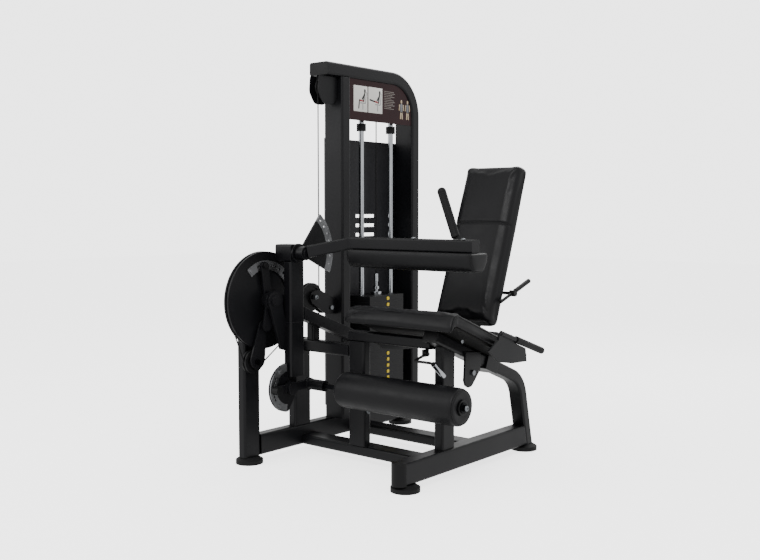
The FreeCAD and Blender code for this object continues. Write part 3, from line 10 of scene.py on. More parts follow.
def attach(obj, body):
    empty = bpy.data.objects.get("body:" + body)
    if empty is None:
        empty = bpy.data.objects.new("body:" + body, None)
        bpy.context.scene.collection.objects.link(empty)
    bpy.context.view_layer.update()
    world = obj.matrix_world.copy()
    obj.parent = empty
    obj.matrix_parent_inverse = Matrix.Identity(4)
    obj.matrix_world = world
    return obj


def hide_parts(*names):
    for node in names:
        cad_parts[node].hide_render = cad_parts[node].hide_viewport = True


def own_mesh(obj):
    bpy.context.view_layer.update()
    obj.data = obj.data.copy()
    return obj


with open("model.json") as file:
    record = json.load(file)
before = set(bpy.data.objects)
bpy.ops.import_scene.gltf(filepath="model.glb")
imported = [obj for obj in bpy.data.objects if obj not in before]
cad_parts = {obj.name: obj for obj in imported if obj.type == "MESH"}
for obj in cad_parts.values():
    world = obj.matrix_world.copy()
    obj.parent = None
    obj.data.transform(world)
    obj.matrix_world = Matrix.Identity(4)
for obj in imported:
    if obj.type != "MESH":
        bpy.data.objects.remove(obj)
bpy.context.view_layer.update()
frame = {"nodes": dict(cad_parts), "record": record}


def linear(hexColour):
    # A hex colour as the linear values that a shader takes.
    parts = [int(hexColour[k:k + 2], 16) / 255 for k in (1, 3, 5)]
    return tuple(c / 12.92 if c <= 0.04045 else ((c + 0.055) / 1.055) ** 2.4 for c in parts) + (1.0,)


def addNode(material, kind, settings, links):
    # In settings, a whole-number key is an input socket and a word is a property of the node.
    tree = material.node_tree
    node = tree.nodes.new(kind)
    for key, value in settings.items():
        if isinstance(key, int):
            node.inputs[key].default_value = value
        else:
            setattr(node, key, value)
    for key, source in links.items():
        tree.links.new(source, node.inputs[key])
    return node


def newMaterial(name, look):
    material = bpy.data.materials.new(name)
    material.use_nodes = True
    shader = material.node_tree.nodes["Principled BSDF"]
    for key, value in look.items():
        shader.inputs[key].default_value = linear(value) if key == "Base Color" else value
    return material, shader


def feed(material, shader, sources):
    for key, source in sources.items():
        material.node_tree.links.new(source, shader.inputs[key])


def perMm(size):
    return 1000 / size


def objectPlace(material):
    return addNode(material, "ShaderNodeTexCoord", {}, {}).outputs["Object"]


def noise(material, where, size, detail, output="Fac"):
    # Cells about size millimetres across.
    return addNode(material, "ShaderNodeTexNoise", {2: perMm(size), 3: detail}, {0: where}).outputs[output]


def blend(material, share, dark, light):
    return addNode(material, "ShaderNodeMix", {"data_type": "RGBA", 6: linear(dark), 7: linear(light)},
                   {0: share}).outputs[2]


def spread(material, share, low, high):
    # Roughness between low and high as a noise goes from its darker to its lighter parts.
    return addNode(material, "ShaderNodeMapRange", {1: 0.3, 2: 0.7, 3: low, 4: high}, {0: share}).outputs[0]


def softEdge(material, radius):
    return addNode(material, "ShaderNodeBevel", {"samples": 4, 0: radius}, {}).outputs[0]


def relief(material, strength, depth, **sources):
    return addNode(material, "ShaderNodeBump", {0: strength, 1: depth}, sources).outputs[0]


# the specular level of paint, vinyl, rubber and plastic
sheen = 0.22


def powderCoat(name, dark, light, worn, rough):
    # Polyester powder baked on steel: fine orange peel, cloudy gloss, edges rubbed a little paler.
    material, shader = newMaterial(name, {"IOR": 1.5, "Specular IOR Level": sheen})
    where = objectPlace(material)
    peel, cloud = noise(material, where, 2.4, 2.0), noise(material, where, 140, 4.0)
    edge = softEdge(material, 0.0022)
    flat = addNode(material, "ShaderNodeNewGeometry", {}, {}).outputs["Normal"]
    facing = addNode(material, "ShaderNodeVectorMath", {"operation": "DOT_PRODUCT"}, {0: edge, 1: flat})
    rub = addNode(material, "ShaderNodeMapRange", {1: 0.985, 2: 0.75, 3: 0.0, 4: 0.55},
                  {0: facing.outputs["Value"]})
    base = addNode(material, "ShaderNodeMix", {"data_type": "RGBA", 7: linear(worn)},
                   {0: rub.outputs[0], 6: blend(material, cloud, dark, light)})
    feed(material, shader, {"Base Color": base.outputs[2],
                            "Roughness": spread(material, cloud, rough - 0.05, rough + 0.08),
                            "Normal": relief(material, 0.25, 0.00012, Height=peel, Normal=edge)})
    return material


def vinyl(name, dark, light, rough):
    # PVC upholstery cloth calendered with a leather grain: pebbles about 2 mm across with soft creases.
    material, shader = newMaterial(name, {"IOR": 1.48, "Specular IOR Level": sheen})
    where = objectPlace(material)
    bent = addNode(material, "ShaderNodeVectorMath",
                   {"operation": "MULTIPLY_ADD", 1: (0.003, 0.003, 0.003)},
                   {0: noise(material, where, 8, 2.0, "Color"), 2: where})
    pebble = addNode(material, "ShaderNodeTexVoronoi", {"feature": "SMOOTH_F1", 2: perMm(2.1)},
                     {0: bent.outputs[0]})
    crease = noise(material, where, 60, 5.0)
    height = addNode(material, "ShaderNodeMath", {"operation": "MULTIPLY_ADD", 1: 0.5},
                     {0: crease, 2: pebble.outputs["Distance"]})
    feed(material, shader, {"Base Color": blend(material, crease, dark, light),
                            "Roughness": spread(material, crease, rough - 0.05, rough + 0.08),
                            "Normal": relief(material, 0.3, 0.00025, Height=height.outputs[0])})
    return material


def moulded(name, dark, light, rough, grain):
    # Moulded rubber or plastic: the spark-eroded texture of its tool and a faint bloom.
    material, shader = newMaterial(name, {"IOR": 1.46, "Specular IOR Level": sheen})
    where = objectPlace(material)
    tool, bloom = noise(material, where, grain, 3.0), noise(material, where, 70, 3.0)
    edge = softEdge(material, 0.002)
    feed(material, shader, {"Base Color": blend(material, bloom, dark, light),
                            "Roughness": spread(material, bloom, rough - 0.06, rough + 0.08),
                            "Normal": relief(material, 0.3, 0.00015, Height=tool, Normal=edge)})
    return material


def metal(name, dark, light, rough, stretch):
    # Bare or plated steel: fine lines along the way it was drawn or turned stretch the highlight.
    material, shader = newMaterial(name, {"Metallic": 1.0})
    where = objectPlace(material)
    drawn = addNode(material, "ShaderNodeMapping", {3: stretch}, {0: where}).outputs[0]
    lines, stain = noise(material, drawn, 0.9, 2.0), noise(material, where, 45, 4.0)
    edge = softEdge(material, 0.0012)
    feed(material, shader, {"Base Color": blend(material, stain, dark, light),
                            "Roughness": spread(material, stain, rough - 0.05, rough + 0.1),
                            "Normal": relief(material, 0.2, 0.00006, Height=lines, Normal=edge)})
    return material


finishes = {
    "frame_paint": powderCoat("powderCoatedSteel", "#09090b", "#0f0f12", "#242428", 0.34),
    "cap_plastic": moulded("mouldedNylonCap", "#0b0b0c", "#121213", 0.42, 1.2),
    "rubber_foot": moulded("mouldedRubber", "#0c0c0d", "#151516", 0.58, 1.6),
    "arc_steel": metal("zincPlatedSteel", "#717274", "#939496", 0.34, (1, 1, 1)),
    "rod_chrome": metal("chromedSteel", "#a4a7ab", "#c0c3c7", 0.12, (1, 1, 0.05)),
    "bolt_steel": metal("turnedSteel", "#686b6e", "#8c8f92", 0.32, (1, 1, 1)),
    "plate_iron": powderCoat("enamelledIron", "#0c0c0d", "#171719", "#2c2c2f", 0.45),
    "pulley_plastic": moulded("castNylon", "#0e0e0f", "#181819", 0.4, 1.5),
    "cable_coat": moulded("nylonCoatedCable", "#060607", "#0a0a0b", 0.6, 0.8),
    "upholstery": vinyl("grainedVinyl", "#0a0a0c", "#111113", 0.4),
    "board_wood": moulded("blackBackedPlywood", "#080808", "#0d0d0d", 0.7, 2.0),
    "roller_cover": vinyl("rollerVinyl", "#0b0b0d", "#121214", 0.42),
    "grip_rubber": moulded("mouldedGripRubber", "#0b0b0c", "#131314", 0.55, 0.9),
    "sign_board": moulded("laminatedSign", "#1c0408", "#27060b", 0.3, 14),
    "bronze_bush": metal("sinteredBronze", "#7a5a30", "#a8824a", 0.4, (1, 1, 1)),
    "pin_steel": metal("plungerSteel", "#888b8e", "#b4b7ba", 0.3, (1, 1, 1)),
}


def printed(name, ground, fleck):
    # Screen ink on film: an even ground with a faint roller mottle.
    material, shader = newMaterial(name, {"IOR": 1.45, "Roughness": 0.35})
    mottle = noise(material, objectPlace(material), 9, 3.0)
    feed(material, shader, {"Base Color": blend(material, mottle, ground, fleck),
                            "Normal": relief(material, 0.1, 0.00002, Height=mottle)})
    return material


inks = {
    "paper": printed("whiteFilm", "#d9d7d2", "#cbc9c4"),
    "sand": printed("sandFilm", "#77706a", "#6a635e"),
    "skin": printed("skinFilm", "#b8a68a", "#a8967b"),
    "black": printed("blackInk", "#101012", "#18181a"),
    "grey": printed("greyInk", "#6a6c70", "#5c5e62"),
    "red": printed("redInk", "#8d1f22", "#7c1a1d"),
    "yellow": printed("yellowFilm", "#e0c40e", "#d2b40a"),
}
slotOf = {row["node"]: row["material_slot"] for row in frame["record"]["subparts"]}
# nodes whose look differs from the rest of their slot
blacked = metal("blackedSteel", "#101113", "#1a1b1e", 0.38, (1, 1, 1))
nodeLook = {"pulley_axles": blacked, "roller_shaft": blacked, "weight_stem": finishes["rod_chrome"],
            "seat_lever": finishes["cap_plastic"],
            # the shroud's coat is a lighter grey than the frame paint: painted light, standing in for the
            # light that falls on its inner face
            "shroud": powderCoat("shroudCoatPaintedLighter", "#1f1f22", "#28282b", "#38383b", 0.4)}
for nodeName, thing in frame["nodes"].items():
    thing.data.materials.clear()
    thing.data.materials.append(nodeLook.get(nodeName, finishes[slotOf[nodeName]]))
print("finishes set")


def piece(name, mesh, finish, body):
    # An edited mesh becomes a named piece that rides on a body of the part.
    data = bpy.data.meshes.new(name)
    mesh.to_mesh(data)
    mesh.free()
    thing = bpy.data.objects.new(name, data)
    bpy.context.collection.objects.link(thing)
    data.materials.append(finishes[finish])
    for face in data.polygons:
        face.use_smooth = True
    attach(thing, body)
    return thing


def flatShaded(thing):
    for face in thing.data.polygons:
        face.use_smooth = False
    return thing


def skinned(mesh, rings, closed=False):
    # Faces between rings of points; the ends are flat unless the last ring joins the first.
    count = len(rings[0])
    for low, high in zip(rings, rings[1:] + rings[:1] if closed else rings[1:]):
        for k in range(count):
            j = (k + 1) % count
            mesh.faces.new((low[k], low[j], high[j], high[k]))
    if not closed:
        mesh.faces.new(rings[0][::-1])
        mesh.faces.new(rings[-1])
    bmesh.ops.recalc_face_normals(mesh, faces=mesh.faces)
    return mesh


def rounded(corners, steps=5):
    # Each corner is (a, b, radius); its arc is drawn between the tangent points.
    line = []
    for k, (a, b, radius) in enumerate(corners):
        here = Vector((a, b))
        before = Vector(corners[k - 1][:2]) - here
        after = Vector(corners[(k + 1) % len(corners)][:2]) - here
        half = before.angle(after) / 2
        reach = min(radius / math.tan(half), 0.49 * min(before.length, after.length))
        start, end = here + before.normalized() * reach, here + after.normalized() * reach
        for j in range(steps + 1):
            t = j / steps
            line.append(start * (1 - t) ** 2 + here * 2 * t * (1 - t) + end * t ** 2)
    return line


def shrunk(line, inset):
    # The closed line moved inwards; it runs anticlockwise.
    moved = []
    for k, point in enumerate(line):
        before = (point - line[k - 1]).normalized()
        after = (line[(k + 1) % len(line)] - point).normalized()
        inward = Vector((-before.y - after.y, before.x + after.x)).normalized()
        moved.append(point + inward * inset / max(0.5, inward.dot(Vector((-after.y, after.x)))))
    return moved


def lofted(corners, rings, where):
    # A closed form from one outline: each ring is (inset, depth), and where gives the place in the room.
    line = rounded(corners)
    mesh = bmesh.new()
    return skinned(mesh, [[mesh.verts.new(where(p.x, p.y, depth)) for p in shrunk(line, inset)]
                          for inset, depth in rings])


# the cloth that swells a cushion's cover, and the frames that it has to settle
cover = {"stiffness": 40, "frames": 20}


def cushion(name, mesh, soft, finish, body):
    # The form is remeshed, swollen by cloth under pressure, and its bulge is held to a few millimetres.
    thing = piece(name, mesh, finish, body)
    bpy.context.view_layer.objects.active = thing
    remesh = thing.modifiers.new("even", "REMESH")
    remesh.mode, remesh.voxel_size = "VOXEL", soft["voxel"]
    bpy.ops.object.modifier_apply(modifier="even")
    rest = [v.co.copy() for v in thing.data.vertices]
    held = soft["held"]
    for v in thing.data.vertices:
        v.co += soft["crown"](v.co)
    pins = thing.vertex_groups.new(name="held")
    pins.add([k for k, co in enumerate(rest) if held(co)], 1.0, "REPLACE")
    cloth = thing.modifiers.new("swell", "CLOTH")
    cloth.settings.vertex_group_mass = "held"
    cloth.settings.use_pressure = True
    cloth.settings.uniform_pressure_force = soft["pressure"]
    cloth.settings.effector_weights.gravity = 0
    cloth.settings.tension_stiffness = cloth.settings.compression_stiffness = cover["stiffness"]
    for step in range(1, cover["frames"] + 1):
        bpy.context.scene.frame_set(step)
    swollen = thing.evaluated_get(bpy.context.evaluated_depsgraph_get()).data
    moves = [swollen.vertices[k].co - v.co for k, v in enumerate(thing.data.vertices)]
    thing.modifiers.remove(cloth)
    bpy.context.scene.frame_set(1)
    for v, move in zip(thing.data.vertices, moves):
        v.co += move * min(1, soft["cap"] / max(move.length, 1e-9))
    smooth = thing.modifiers.new("even", "CORRECTIVE_SMOOTH")
    smooth.iterations, smooth.use_only_smooth = soft["smooth"], True
    bpy.ops.object.modifier_apply(modifier="even")
    finer = thing.modifiers.new("finer", "SUBSURF")
    finer.levels = finer.render_levels = 1
    bpy.ops.object.modifier_apply(modifier="finer")
    for face in thing.data.polygons:
        face.use_smooth = True
    print(name, len(thing.data.vertices), "points")
    return thing


# spacing of the points along a sewn line
stitch = 0.004


def seam(name, pad, points, look, finish):
    # A sewn line on a pad: the cover is drawn in along it, and a thread or welt lies in the channel.
    tree = BVHTree.FromPolygons([v.co for v in pad.data.vertices],
                                [f.vertices for f in pad.data.polygons])
    dense = []
    for start, end in zip(points, points[1:]):
        count = max(2, int((Vector(end) - Vector(start)).length / stitch))
        dense += [Vector(start).lerp(Vector(end), k / count) for k in range(count)]
    dense.append(Vector(points[-1]))
    laid = [tree.find_nearest(p)[:2] for p in dense]
    near = KDTree(len(laid))
    for k, (spot, normal) in enumerate(laid):
        near.insert(spot, k)
    near.balance()
    for v in pad.data.vertices:
        spot, k, far = near.find(v.co)
        if far < look["wide"]:
            v.co -= laid[k][1] * look["deep"] * (1 - (far / look["wide"]) ** 2) ** 2
    curve = bpy.data.curves.new(name, "CURVE")
    curve.dimensions, curve.bevel_depth, curve.bevel_resolution = "3D", look["thread"], 3
    run = curve.splines.new("POLY")
    run.points.add(len(laid) - 1)
    for point, (spot, normal) in zip(run.points, laid):
        point.co = (*(spot - normal * (look["deep"] - look["proud"])), 1)
    curve.use_fill_caps = True
    drawn = bpy.data.objects.new(name + "Line", curve)
    bpy.context.collection.objects.link(drawn)
    mesh = bpy.data.meshes.new_from_object(drawn.evaluated_get(bpy.context.evaluated_depsgraph_get()))
    bpy.data.objects.remove(drawn)
    welt = bpy.data.objects.new(name, mesh)
    bpy.context.collection.objects.link(welt)
    mesh.materials.clear()
    mesh.materials.append(finishes[finish])
    for face in mesh.polygons:
        face.use_smooth = True
    welt.parent = pad
    welt.matrix_parent_inverse = pad.matrix_world.inverted()
    return welt


# back cushion, measured up the cushion, across it, and back from its front face
back = {"mid": -0.105, "y": 0.462, "z": 0.540, "lean": math.radians(20), "long": 0.643, "seamAt": 0.396,
        "wideLow": 0.134, "wideSeam": 0.133, "wideTop": 0.130,
        "lowRadius": 0.022, "seamRadius": 0.2, "topRadius": 0.026,
        "rings": ((0.024, 0.001), (0.012, 0.0045), (0.005, 0.011), (0.0012, 0.019), (0.0, 0.028),
                  (0.0, 0.052), (0.003, 0.0625), (0.009, 0.0655)),
        "crownDeep": 0.03, "crown": 0.005, "crownWide": 0.12, "crownLong": 0.32, "boardSide": 0.060,
        "seamEdge": 0.12, "seamReach": 0.02,
        "soft": {"voxel": 0.005, "pressure": 4, "cap": 0.006, "smooth": 3, "fill": 0.85},
        "crossSeam": {"wide": 0.009, "deep": 0.0035, "thread": 0.0008, "proud": 0.0004}}


def onBack(across, up, behind):
    turn = back["lean"]
    return Vector((back["mid"] + across, back["y"] + up * math.sin(turn) + behind * math.cos(turn),
                   back["z"] + up * math.cos(turn) - behind * math.sin(turn)))


def onBackInverse(point):
    turn = back["lean"]
    y, z = point.y - back["y"], point.z - back["z"]
    return (point.x - back["mid"], y * math.sin(turn) + z * math.cos(turn),
            y * math.cos(turn) - z * math.sin(turn))


def buildBack():
    low, wide, top = back["wideLow"], back["wideSeam"], back["wideTop"]
    outline = [(-low, 0.0, back["lowRadius"]), (low, 0.0, back["lowRadius"]),
               (wide, back["seamAt"], back["seamRadius"]), (top, back["long"], back["topRadius"]),
               (-top, back["long"], back["topRadius"]), (-wide, back["seamAt"], back["seamRadius"])]
    outwards = Vector((0, -math.cos(back["lean"]), math.sin(back["lean"])))

    def crown(point):
        across, up, behind = onBackInverse(point)
        if behind > back["crownDeep"]:
            return Vector()
        long = back["crownLong"]
        return outwards * back["crown"] * max(0, 1 - (across / back["crownWide"]) ** 2) * max(
            0, 1 - ((up - long) / long) ** 4)

    soft = dict(back["soft"], crown=crown, held=lambda p: onBackInverse(p)[2] > back["boardSide"])
    pad = cushion("backCushion", lofted(outline, back["rings"], onBack), soft, "upholstery", "carriage")
    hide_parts("back_pad")
    line = []
    for k in range(-10, 11):
        x = k / 10 * wide
        behind = -back["seamReach"] if abs(x) < back["seamEdge"] else back["seamReach"]
        line.append(onBack(x, back["seamAt"], behind))
    seam("backCrossSeam", pad, line, back["crossSeam"], "upholstery")


buildBack()

# seat cushion, measured down the slope of the rail and square to it
seat = {"left": -0.350, "right": 0.140, "y": 0.413, "z": 0.437, "tilt": math.radians(21.6),
        "outline": ((0.0365, 0.0085, 0.003), (0.0365, 0.0535, 0.012), (-0.337, 0.0535, 0.006),
                    (-0.3625, 0.0345, 0.006), (-0.3635, -0.014, 0.008), (-0.352, -0.024, 0.006),
                    (-0.344, -0.022, 0.004), (-0.3365, 0.0085, 0.004)),
        "endRings": ((0.007, 0.001), (0.0022, 0.004), (0.0, 0.010)),
        "crownFrom": 0.03, "crownFront": -0.330, "crown": 0.006, "crownX": 0.105, "crownWide": 0.24,
        "crownAt": 0.155, "crownLong": 0.19, "boardTop": 0.014, "boardFront": -0.338,
        "soft": {"voxel": 0.005, "pressure": 4, "cap": 0.005, "smooth": 3, "fill": 0.85},
        "welt": {"wide": 0.006, "deep": 0.001, "thread": 0.0016, "proud": 0.0012}, "weltInset": 0.002,
        "weltLine": ((0.030, 0.0115), (0.030, 0.0475), (-0.334, 0.0475), (-0.3565, 0.031),
                     (-0.3575, -0.012), (-0.350, -0.018))}


def onRail(down, above, across):
    turn = seat["tilt"]
    return Vector((across, seat["y"] + down * math.cos(turn) + above * math.sin(turn),
                   seat["z"] - down * math.sin(turn) + above * math.cos(turn)))


def onRailInverse(point):
    turn = seat["tilt"]
    y, z = point.y - seat["y"], point.z - seat["z"]
    return y * math.cos(turn) - z * math.sin(turn), y * math.sin(turn) + z * math.cos(turn)


def bothEnds(low, high, rings):
    # The rings of a block between two ends, given as (inset, distance from the end).
    return [(inset, low + far) for inset, far in rings] + [(inset, high - far) for inset, far in rings[::-1]]


def buildSeat():
    def crown(point):
        down, above = onRailInverse(point)
        if above < seat["crownFrom"] or down < seat["crownFront"]:
            return Vector()
        rise = (seat["crown"] * max(0, 1 - ((point.x + seat["crownX"]) / seat["crownWide"]) ** 2)
                * max(0, 1 - ((down + seat["crownAt"]) / seat["crownLong"]) ** 2))
        return Vector((0, math.sin(seat["tilt"]), math.cos(seat["tilt"]))) * rise

    def held(point):
        down, above = onRailInverse(point)
        return above < seat["boardTop"] and down > seat["boardFront"]

    low, high = seat["left"], seat["right"]
    form = lofted(seat["outline"], bothEnds(low, high, seat["endRings"]), onRail)
    pad = cushion("seatCushion", form, dict(seat["soft"], crown=crown, held=held), "upholstery", "frame")
    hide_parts("seat_pad")
    for name, x in (("seatWeltRight", high - seat["weltInset"]),
                    ("seatWeltLeft", low + seat["weltInset"])):
        seam(name, pad, [onRail(a, b, x) for a, b in seat["weltLine"]], seat["welt"], "upholstery")


buildSeat()

# thigh pad, a half round block under its bar
thigh = {"left": -0.374, "right": 0.190, "y": 0.164, "top": 0.8158, "tall": 0.069, "wide": 0.1045,
         "shoulder": 0.030, "flatPart": 0.62, "flatUp": 0.004, "boardSide": 0.004,
         "endRings": ((0.006, 0.001), (0.0018, 0.0035), (0.0, 0.009)),
         "topCorner": 0.0015, "shoulderCorner": 0.020, "floorCorner": 0.03, "tuck": 0.0001,
         "soft": {"voxel": 0.0045, "pressure": 4, "cap": 0.004, "smooth": 2, "fill": 0.9},
         "welt": {"wide": 0.006, "deep": 0.001, "thread": 0.0014, "proud": 0.001}, "weltInset": 0.004,
         "weltSide": 0.002, "weltTop": 0.004, "weltShoulder": 0.028, "weltFlat": 0.6, "weltUp": 0.006}


def buildThigh():
    half, tall = thigh["wide"] / 2, thigh["tall"]
    low, high = thigh["left"], thigh["right"]
    flat, floor, side = half * thigh["flatPart"], -tall + thigh["flatUp"], -thigh["shoulder"]

    def where(a, b, c):
        return Vector((c, thigh["y"] + a, thigh["top"] + b))

    outline = [(-half, -thigh["tuck"], thigh["topCorner"]), (-half, side, thigh["shoulderCorner"]),
               (-flat, floor, thigh["floorCorner"])]
    outline += [(-a, b, radius) for a, b, radius in outline[::-1]]
    soft = dict(thigh["soft"], crown=lambda p: Vector(),
                held=lambda p: p.z > thigh["top"] - thigh["boardSide"])
    pad = cushion("thighCushion", lofted(outline, bothEnds(low, high, thigh["endRings"]), where), soft,
                  "upholstery", "thigh")
    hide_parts("thigh_pad")
    outer = half - thigh["weltSide"]
    line = [(outer, -thigh["weltTop"]), (outer, -thigh["weltShoulder"]),
            (half * thigh["weltFlat"], -tall + thigh["weltUp"])]
    line += [(-a, b) for a, b in line[::-1]]
    for name, x in (("thighWeltRight", high - thigh["weltInset"]),
                    ("thighWeltLeft", low + thigh["weltInset"])):
        seam(name, pad, [where(a, b, x) for a, b in line], thigh["welt"], "upholstery")


buildThigh()

# shin roller: a foam sleeve in a sewn cover, with flat ends drawn in to the core
roller = {"left": -0.368, "right": 0.170, "y": 0.095, "z": 0.296, "radius": 0.0665, "bore": 0.0163,
          "hub": 0.030, "round": 96, "boreIn": 0.004, "hubIn": 0.002,
          "endRows": ((0.0005, 0.014), (0.003, 0.005), (0.010, 0.0008), (0.05, 0.0)),
          "weltInset": 0.0015, "weltDown": 0.006, "halfTurn": 36,
          "soft": {"voxel": 0.0045, "pressure": 3, "cap": 0.002, "smooth": 2, "fill": 0.95},
          "welt": {"wide": 0.006, "deep": 0.001, "thread": 0.0014, "proud": 0.001}}


def onRoller(x, radius, turn):
    return x, roller["y"] + radius * math.cos(turn), roller["z"] + radius * math.sin(turn)


def buildRoller():
    low, high, big, count = roller["left"], roller["right"], roller["radius"], roller["round"]
    # rows from the bore out and along, as (distance from the end, radius)
    half = [(roller["boreIn"], roller["bore"]), (roller["hubIn"], roller["hub"])]
    half += [(far, big - below) for far, below in roller["endRows"]]
    profile = [(low + far, r) for far, r in half] + [(high - far, r) for far, r in half[::-1]]
    mesh = bmesh.new()
    skinned(mesh, [[mesh.verts.new(onRoller(x, r, 2 * math.pi * k / count)) for k in range(count)]
                   for x, r in profile], closed=True)

    def held(point):
        return math.hypot(point.y - roller["y"], point.z - roller["z"]) < roller["hub"]

    pad = cushion("shinRoller", mesh, dict(roller["soft"], crown=lambda p: Vector(), held=held),
                  "roller_cover", "roller")
    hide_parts("roller_foam")
    for name, x in (("rollerWeltRight", high - roller["weltInset"]),
                    ("rollerWeltLeft", low + roller["weltInset"])):
        loop = [onRoller(x, big - roller["weltDown"], k / roller["halfTurn"] * math.pi)
                for k in range(2 * roller["halfTurn"] + 1)]
        seam(name, pad, loop, roller["welt"], "roller_cover")


buildRoller()

# the run of cable between the stack and the rear top pulley; it shortens as the stack rises, and is drawn
# here as one straight tube at rest
lift = {"x": -0.655, "y": 0.622, "low": 0.6898, "high": 1.4497, "radius": 0.0025, "sides": 12,
        "levels": 40, "anchor": 1.450, "keep": 0.6118}


def buildLift():
    mesh = bmesh.new()
    rings = []
    turns = [2 * math.pi * k / lift["sides"] for k in range(lift["sides"])]
    for level in range(lift["levels"] + 1):
        z = lift["low"] + (lift["high"] - lift["low"]) * level / lift["levels"]
        rings.append([mesh.verts.new((lift["x"] + lift["radius"] * math.cos(turn),
                                      lift["y"] + lift["radius"] * math.sin(turn), z))
                      for turn in turns])
    run = piece("liftCable", skinned(mesh, rings), "cable_coat", "frame")
    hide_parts("cable_lift")
    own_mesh(run)
    print("lift cable ready")


buildLift()


def film(name, ink, outline, depth, where, body, slot):
    # A thin sheet with a rolled edge, laid on a face.
    rings = [(0.0, 0.0), (0.0, depth * 0.6), (depth * 0.5, depth)]
    sheet = piece(name, lofted(outline, rings, where), slot, body)
    sheet.data.materials[0] = inks[ink]
    return sheet


def block(left, low, right, high, radius=0.002):
    return [(left, low, radius), (right, low, radius), (right, high, radius), (left, high, radius)]


# the exercise sheet on the tower: two drawings of a sitter, rows of grey bars, and small figures
sign = {"x": -0.612, "proud": 0.0002, "film": 0.0004, "ink": 0.0003,
        "drawings": ((0.429, 1.366, 0.515, 1.471), (0.521, 1.366, 0.611, 1.472)),
        "notes": (0.623, 1.388, 0.700, 1.466), "noteRows": 11, "noteHalf": 0.0013,
        "noteShort": (0.012, 0.004, 0.02, 0.008, 0.03),
        "figures": (0.715, 1.351, 0.807, 1.438), "figureAt": (0.27, 0.73)}
# lines of a drawing, as shares of its width and height, with half the line's thickness
sitter = {"neck": 0.0052, "limb": 0.0034, "bench": 0.0016, "knee": ((0.42, 0.44), (0.42, 0.46)),
          "foot": ((0.36, 0.14), (0.12, 0.50)), "trunk": (0.72, 0.42, 0.80, 0.74), "hip": (0.72, 0.42),
          "arm": (0.78, 0.68, 0.62, 0.50), "head": (0.81, 0.80, 0.81, 0.84),
          "Seat": (0.5, 0.34, 0.84, 0.34), "Back": (0.86, 0.36, 0.92, 0.78), "Post": (0.66, 0.10, 0.66, 0.30)}


def onSign(a, b, c):
    return Vector((sign["x"] + sign["proud"] + c, a, b))


def stroke(name, ink, a, b, c, d, half):
    along = Vector((c - a, d - b)).normalized() * half
    side = Vector((-along.y, along.x))
    start, end = Vector((a, b)), Vector((c, d))
    ends = [start - along - side, end + along - side, end + along + side, start - along + side]
    film(name, ink, [(p.x, p.y, half * 0.9) for p in ends], sign["ink"],
         lambda across, up, out: onSign(across, up, out + sign["film"]), "frame", "sign_board")


def buildDrawing(k, left, low, right, high):
    film("signDrawing%d" % k, "paper", block(left, low, right, high), sign["film"], onSign, "frame",
         "sign_board")
    wide, tall = right - left, high - low

    def draw(name, ink, line, half):
        a, b, c, d = line
        stroke(name, ink, left + a * wide, low + b * tall, left + c * wide, low + d * tall, half)

    knee, foot = sitter["knee"][k], sitter["foot"][k]
    for part, line in {"Trunk": sitter["trunk"], "Thigh": sitter["hip"] + knee, "Shin": knee + foot,
                       "Arm": sitter["arm"], "Neck": sitter["head"]}.items():
        draw("signSitter%d%s" % (k, part), "red" if part == "Thigh" else "black", line,
             sitter["neck"] if part == "Neck" else sitter["limb"])
    for part in ("Seat", "Back", "Post"):
        draw("signBench%d%s" % (k, part), "grey", sitter[part], sitter["bench"])


def buildFigure(k, middle, low, high):
    # Each limb runs from one (across, up) to another, with half its thickness.
    limbs = {"Head": (0, high - 0.008, 0, high - 0.012, 0.0052),
             "Trunk": (0, high - 0.026, 0, high - 0.050, 0.0082),
             "ArmLeft": (-0.013, high - 0.024, -0.015, high - 0.046, 0.0026),
             "ArmRight": (0.013, high - 0.024, 0.015, high - 0.046, 0.0026),
             "LegLeft": (-0.0045, high - 0.056, -0.006, low + 0.006, 0.0036),
             "LegRight": (0.0045, high - 0.056, 0.006, low + 0.006, 0.0036)}
    for name, (x1, z1, x2, z2, half) in limbs.items():
        stroke("signFigure%d%s" % (k, name), "skin" if name != "Trunk" else "grey", middle + x1, z1,
               middle + x2, z2, half)


def buildSign():
    for k, place in enumerate(sign["drawings"]):
        buildDrawing(k, *place)
    left, low, right, high = sign["notes"]
    for k in range(sign["noteRows"]):
        z = high - (k + 0.5) * (high - low) / sign["noteRows"]
        end = right - sign["noteShort"][k % len(sign["noteShort"])]
        film("signNote%d" % k, "sand", block(left, z - sign["noteHalf"], end, z + sign["noteHalf"], 0.0004),
             sign["ink"], onSign, "frame", "sign_board")
    left, low, right, high = sign["figures"]
    for k, share in enumerate(sign["figureAt"]):
        buildFigure(k, left + share * (right - left), low, high)
    print("sign ready")


buildSign()

# round-bottomed cheek plates on both sides of the sheave below the tower's nose
cheeks = {"outline": ((0.350, 1.494, 0.002), (0.244, 1.494, 0.012), (0.238, 1.43, 0.04), (0.268, 1.384, 0.03),
                      (0.322, 1.384, 0.03), (0.350, 1.41, 0.02)),
          "thick": 0.003, "edge": 0.0005, "at": {"cheekLeft": -0.6325, "cheekRight": -0.6805}}


def buildCheeks():
    thick, edge = cheeks["thick"], cheeks["edge"]
    for name, x in cheeks["at"].items():
        form = lofted(cheeks["outline"], [(edge, 0.0), (0.0, edge), (0.0, thick - edge), (edge, thick)],
                      lambda a, b, c: Vector((x + c, a, b)))
        flatShaded(piece(name, form, "frame_paint", "frame"))
    print("cheeks ready")


buildCheeks()

# a small yellow tab on the edge of each weight plate
tabs = {"x": -0.595, "y": 0.630, "wide": 0.016, "tall": 0.014, "corner": 0.005, "thick": 0.0003,
        "proud": 0.0001, "pitch": 0.0262, "rest": 12, "lifted": 5, "low": 0.1665}


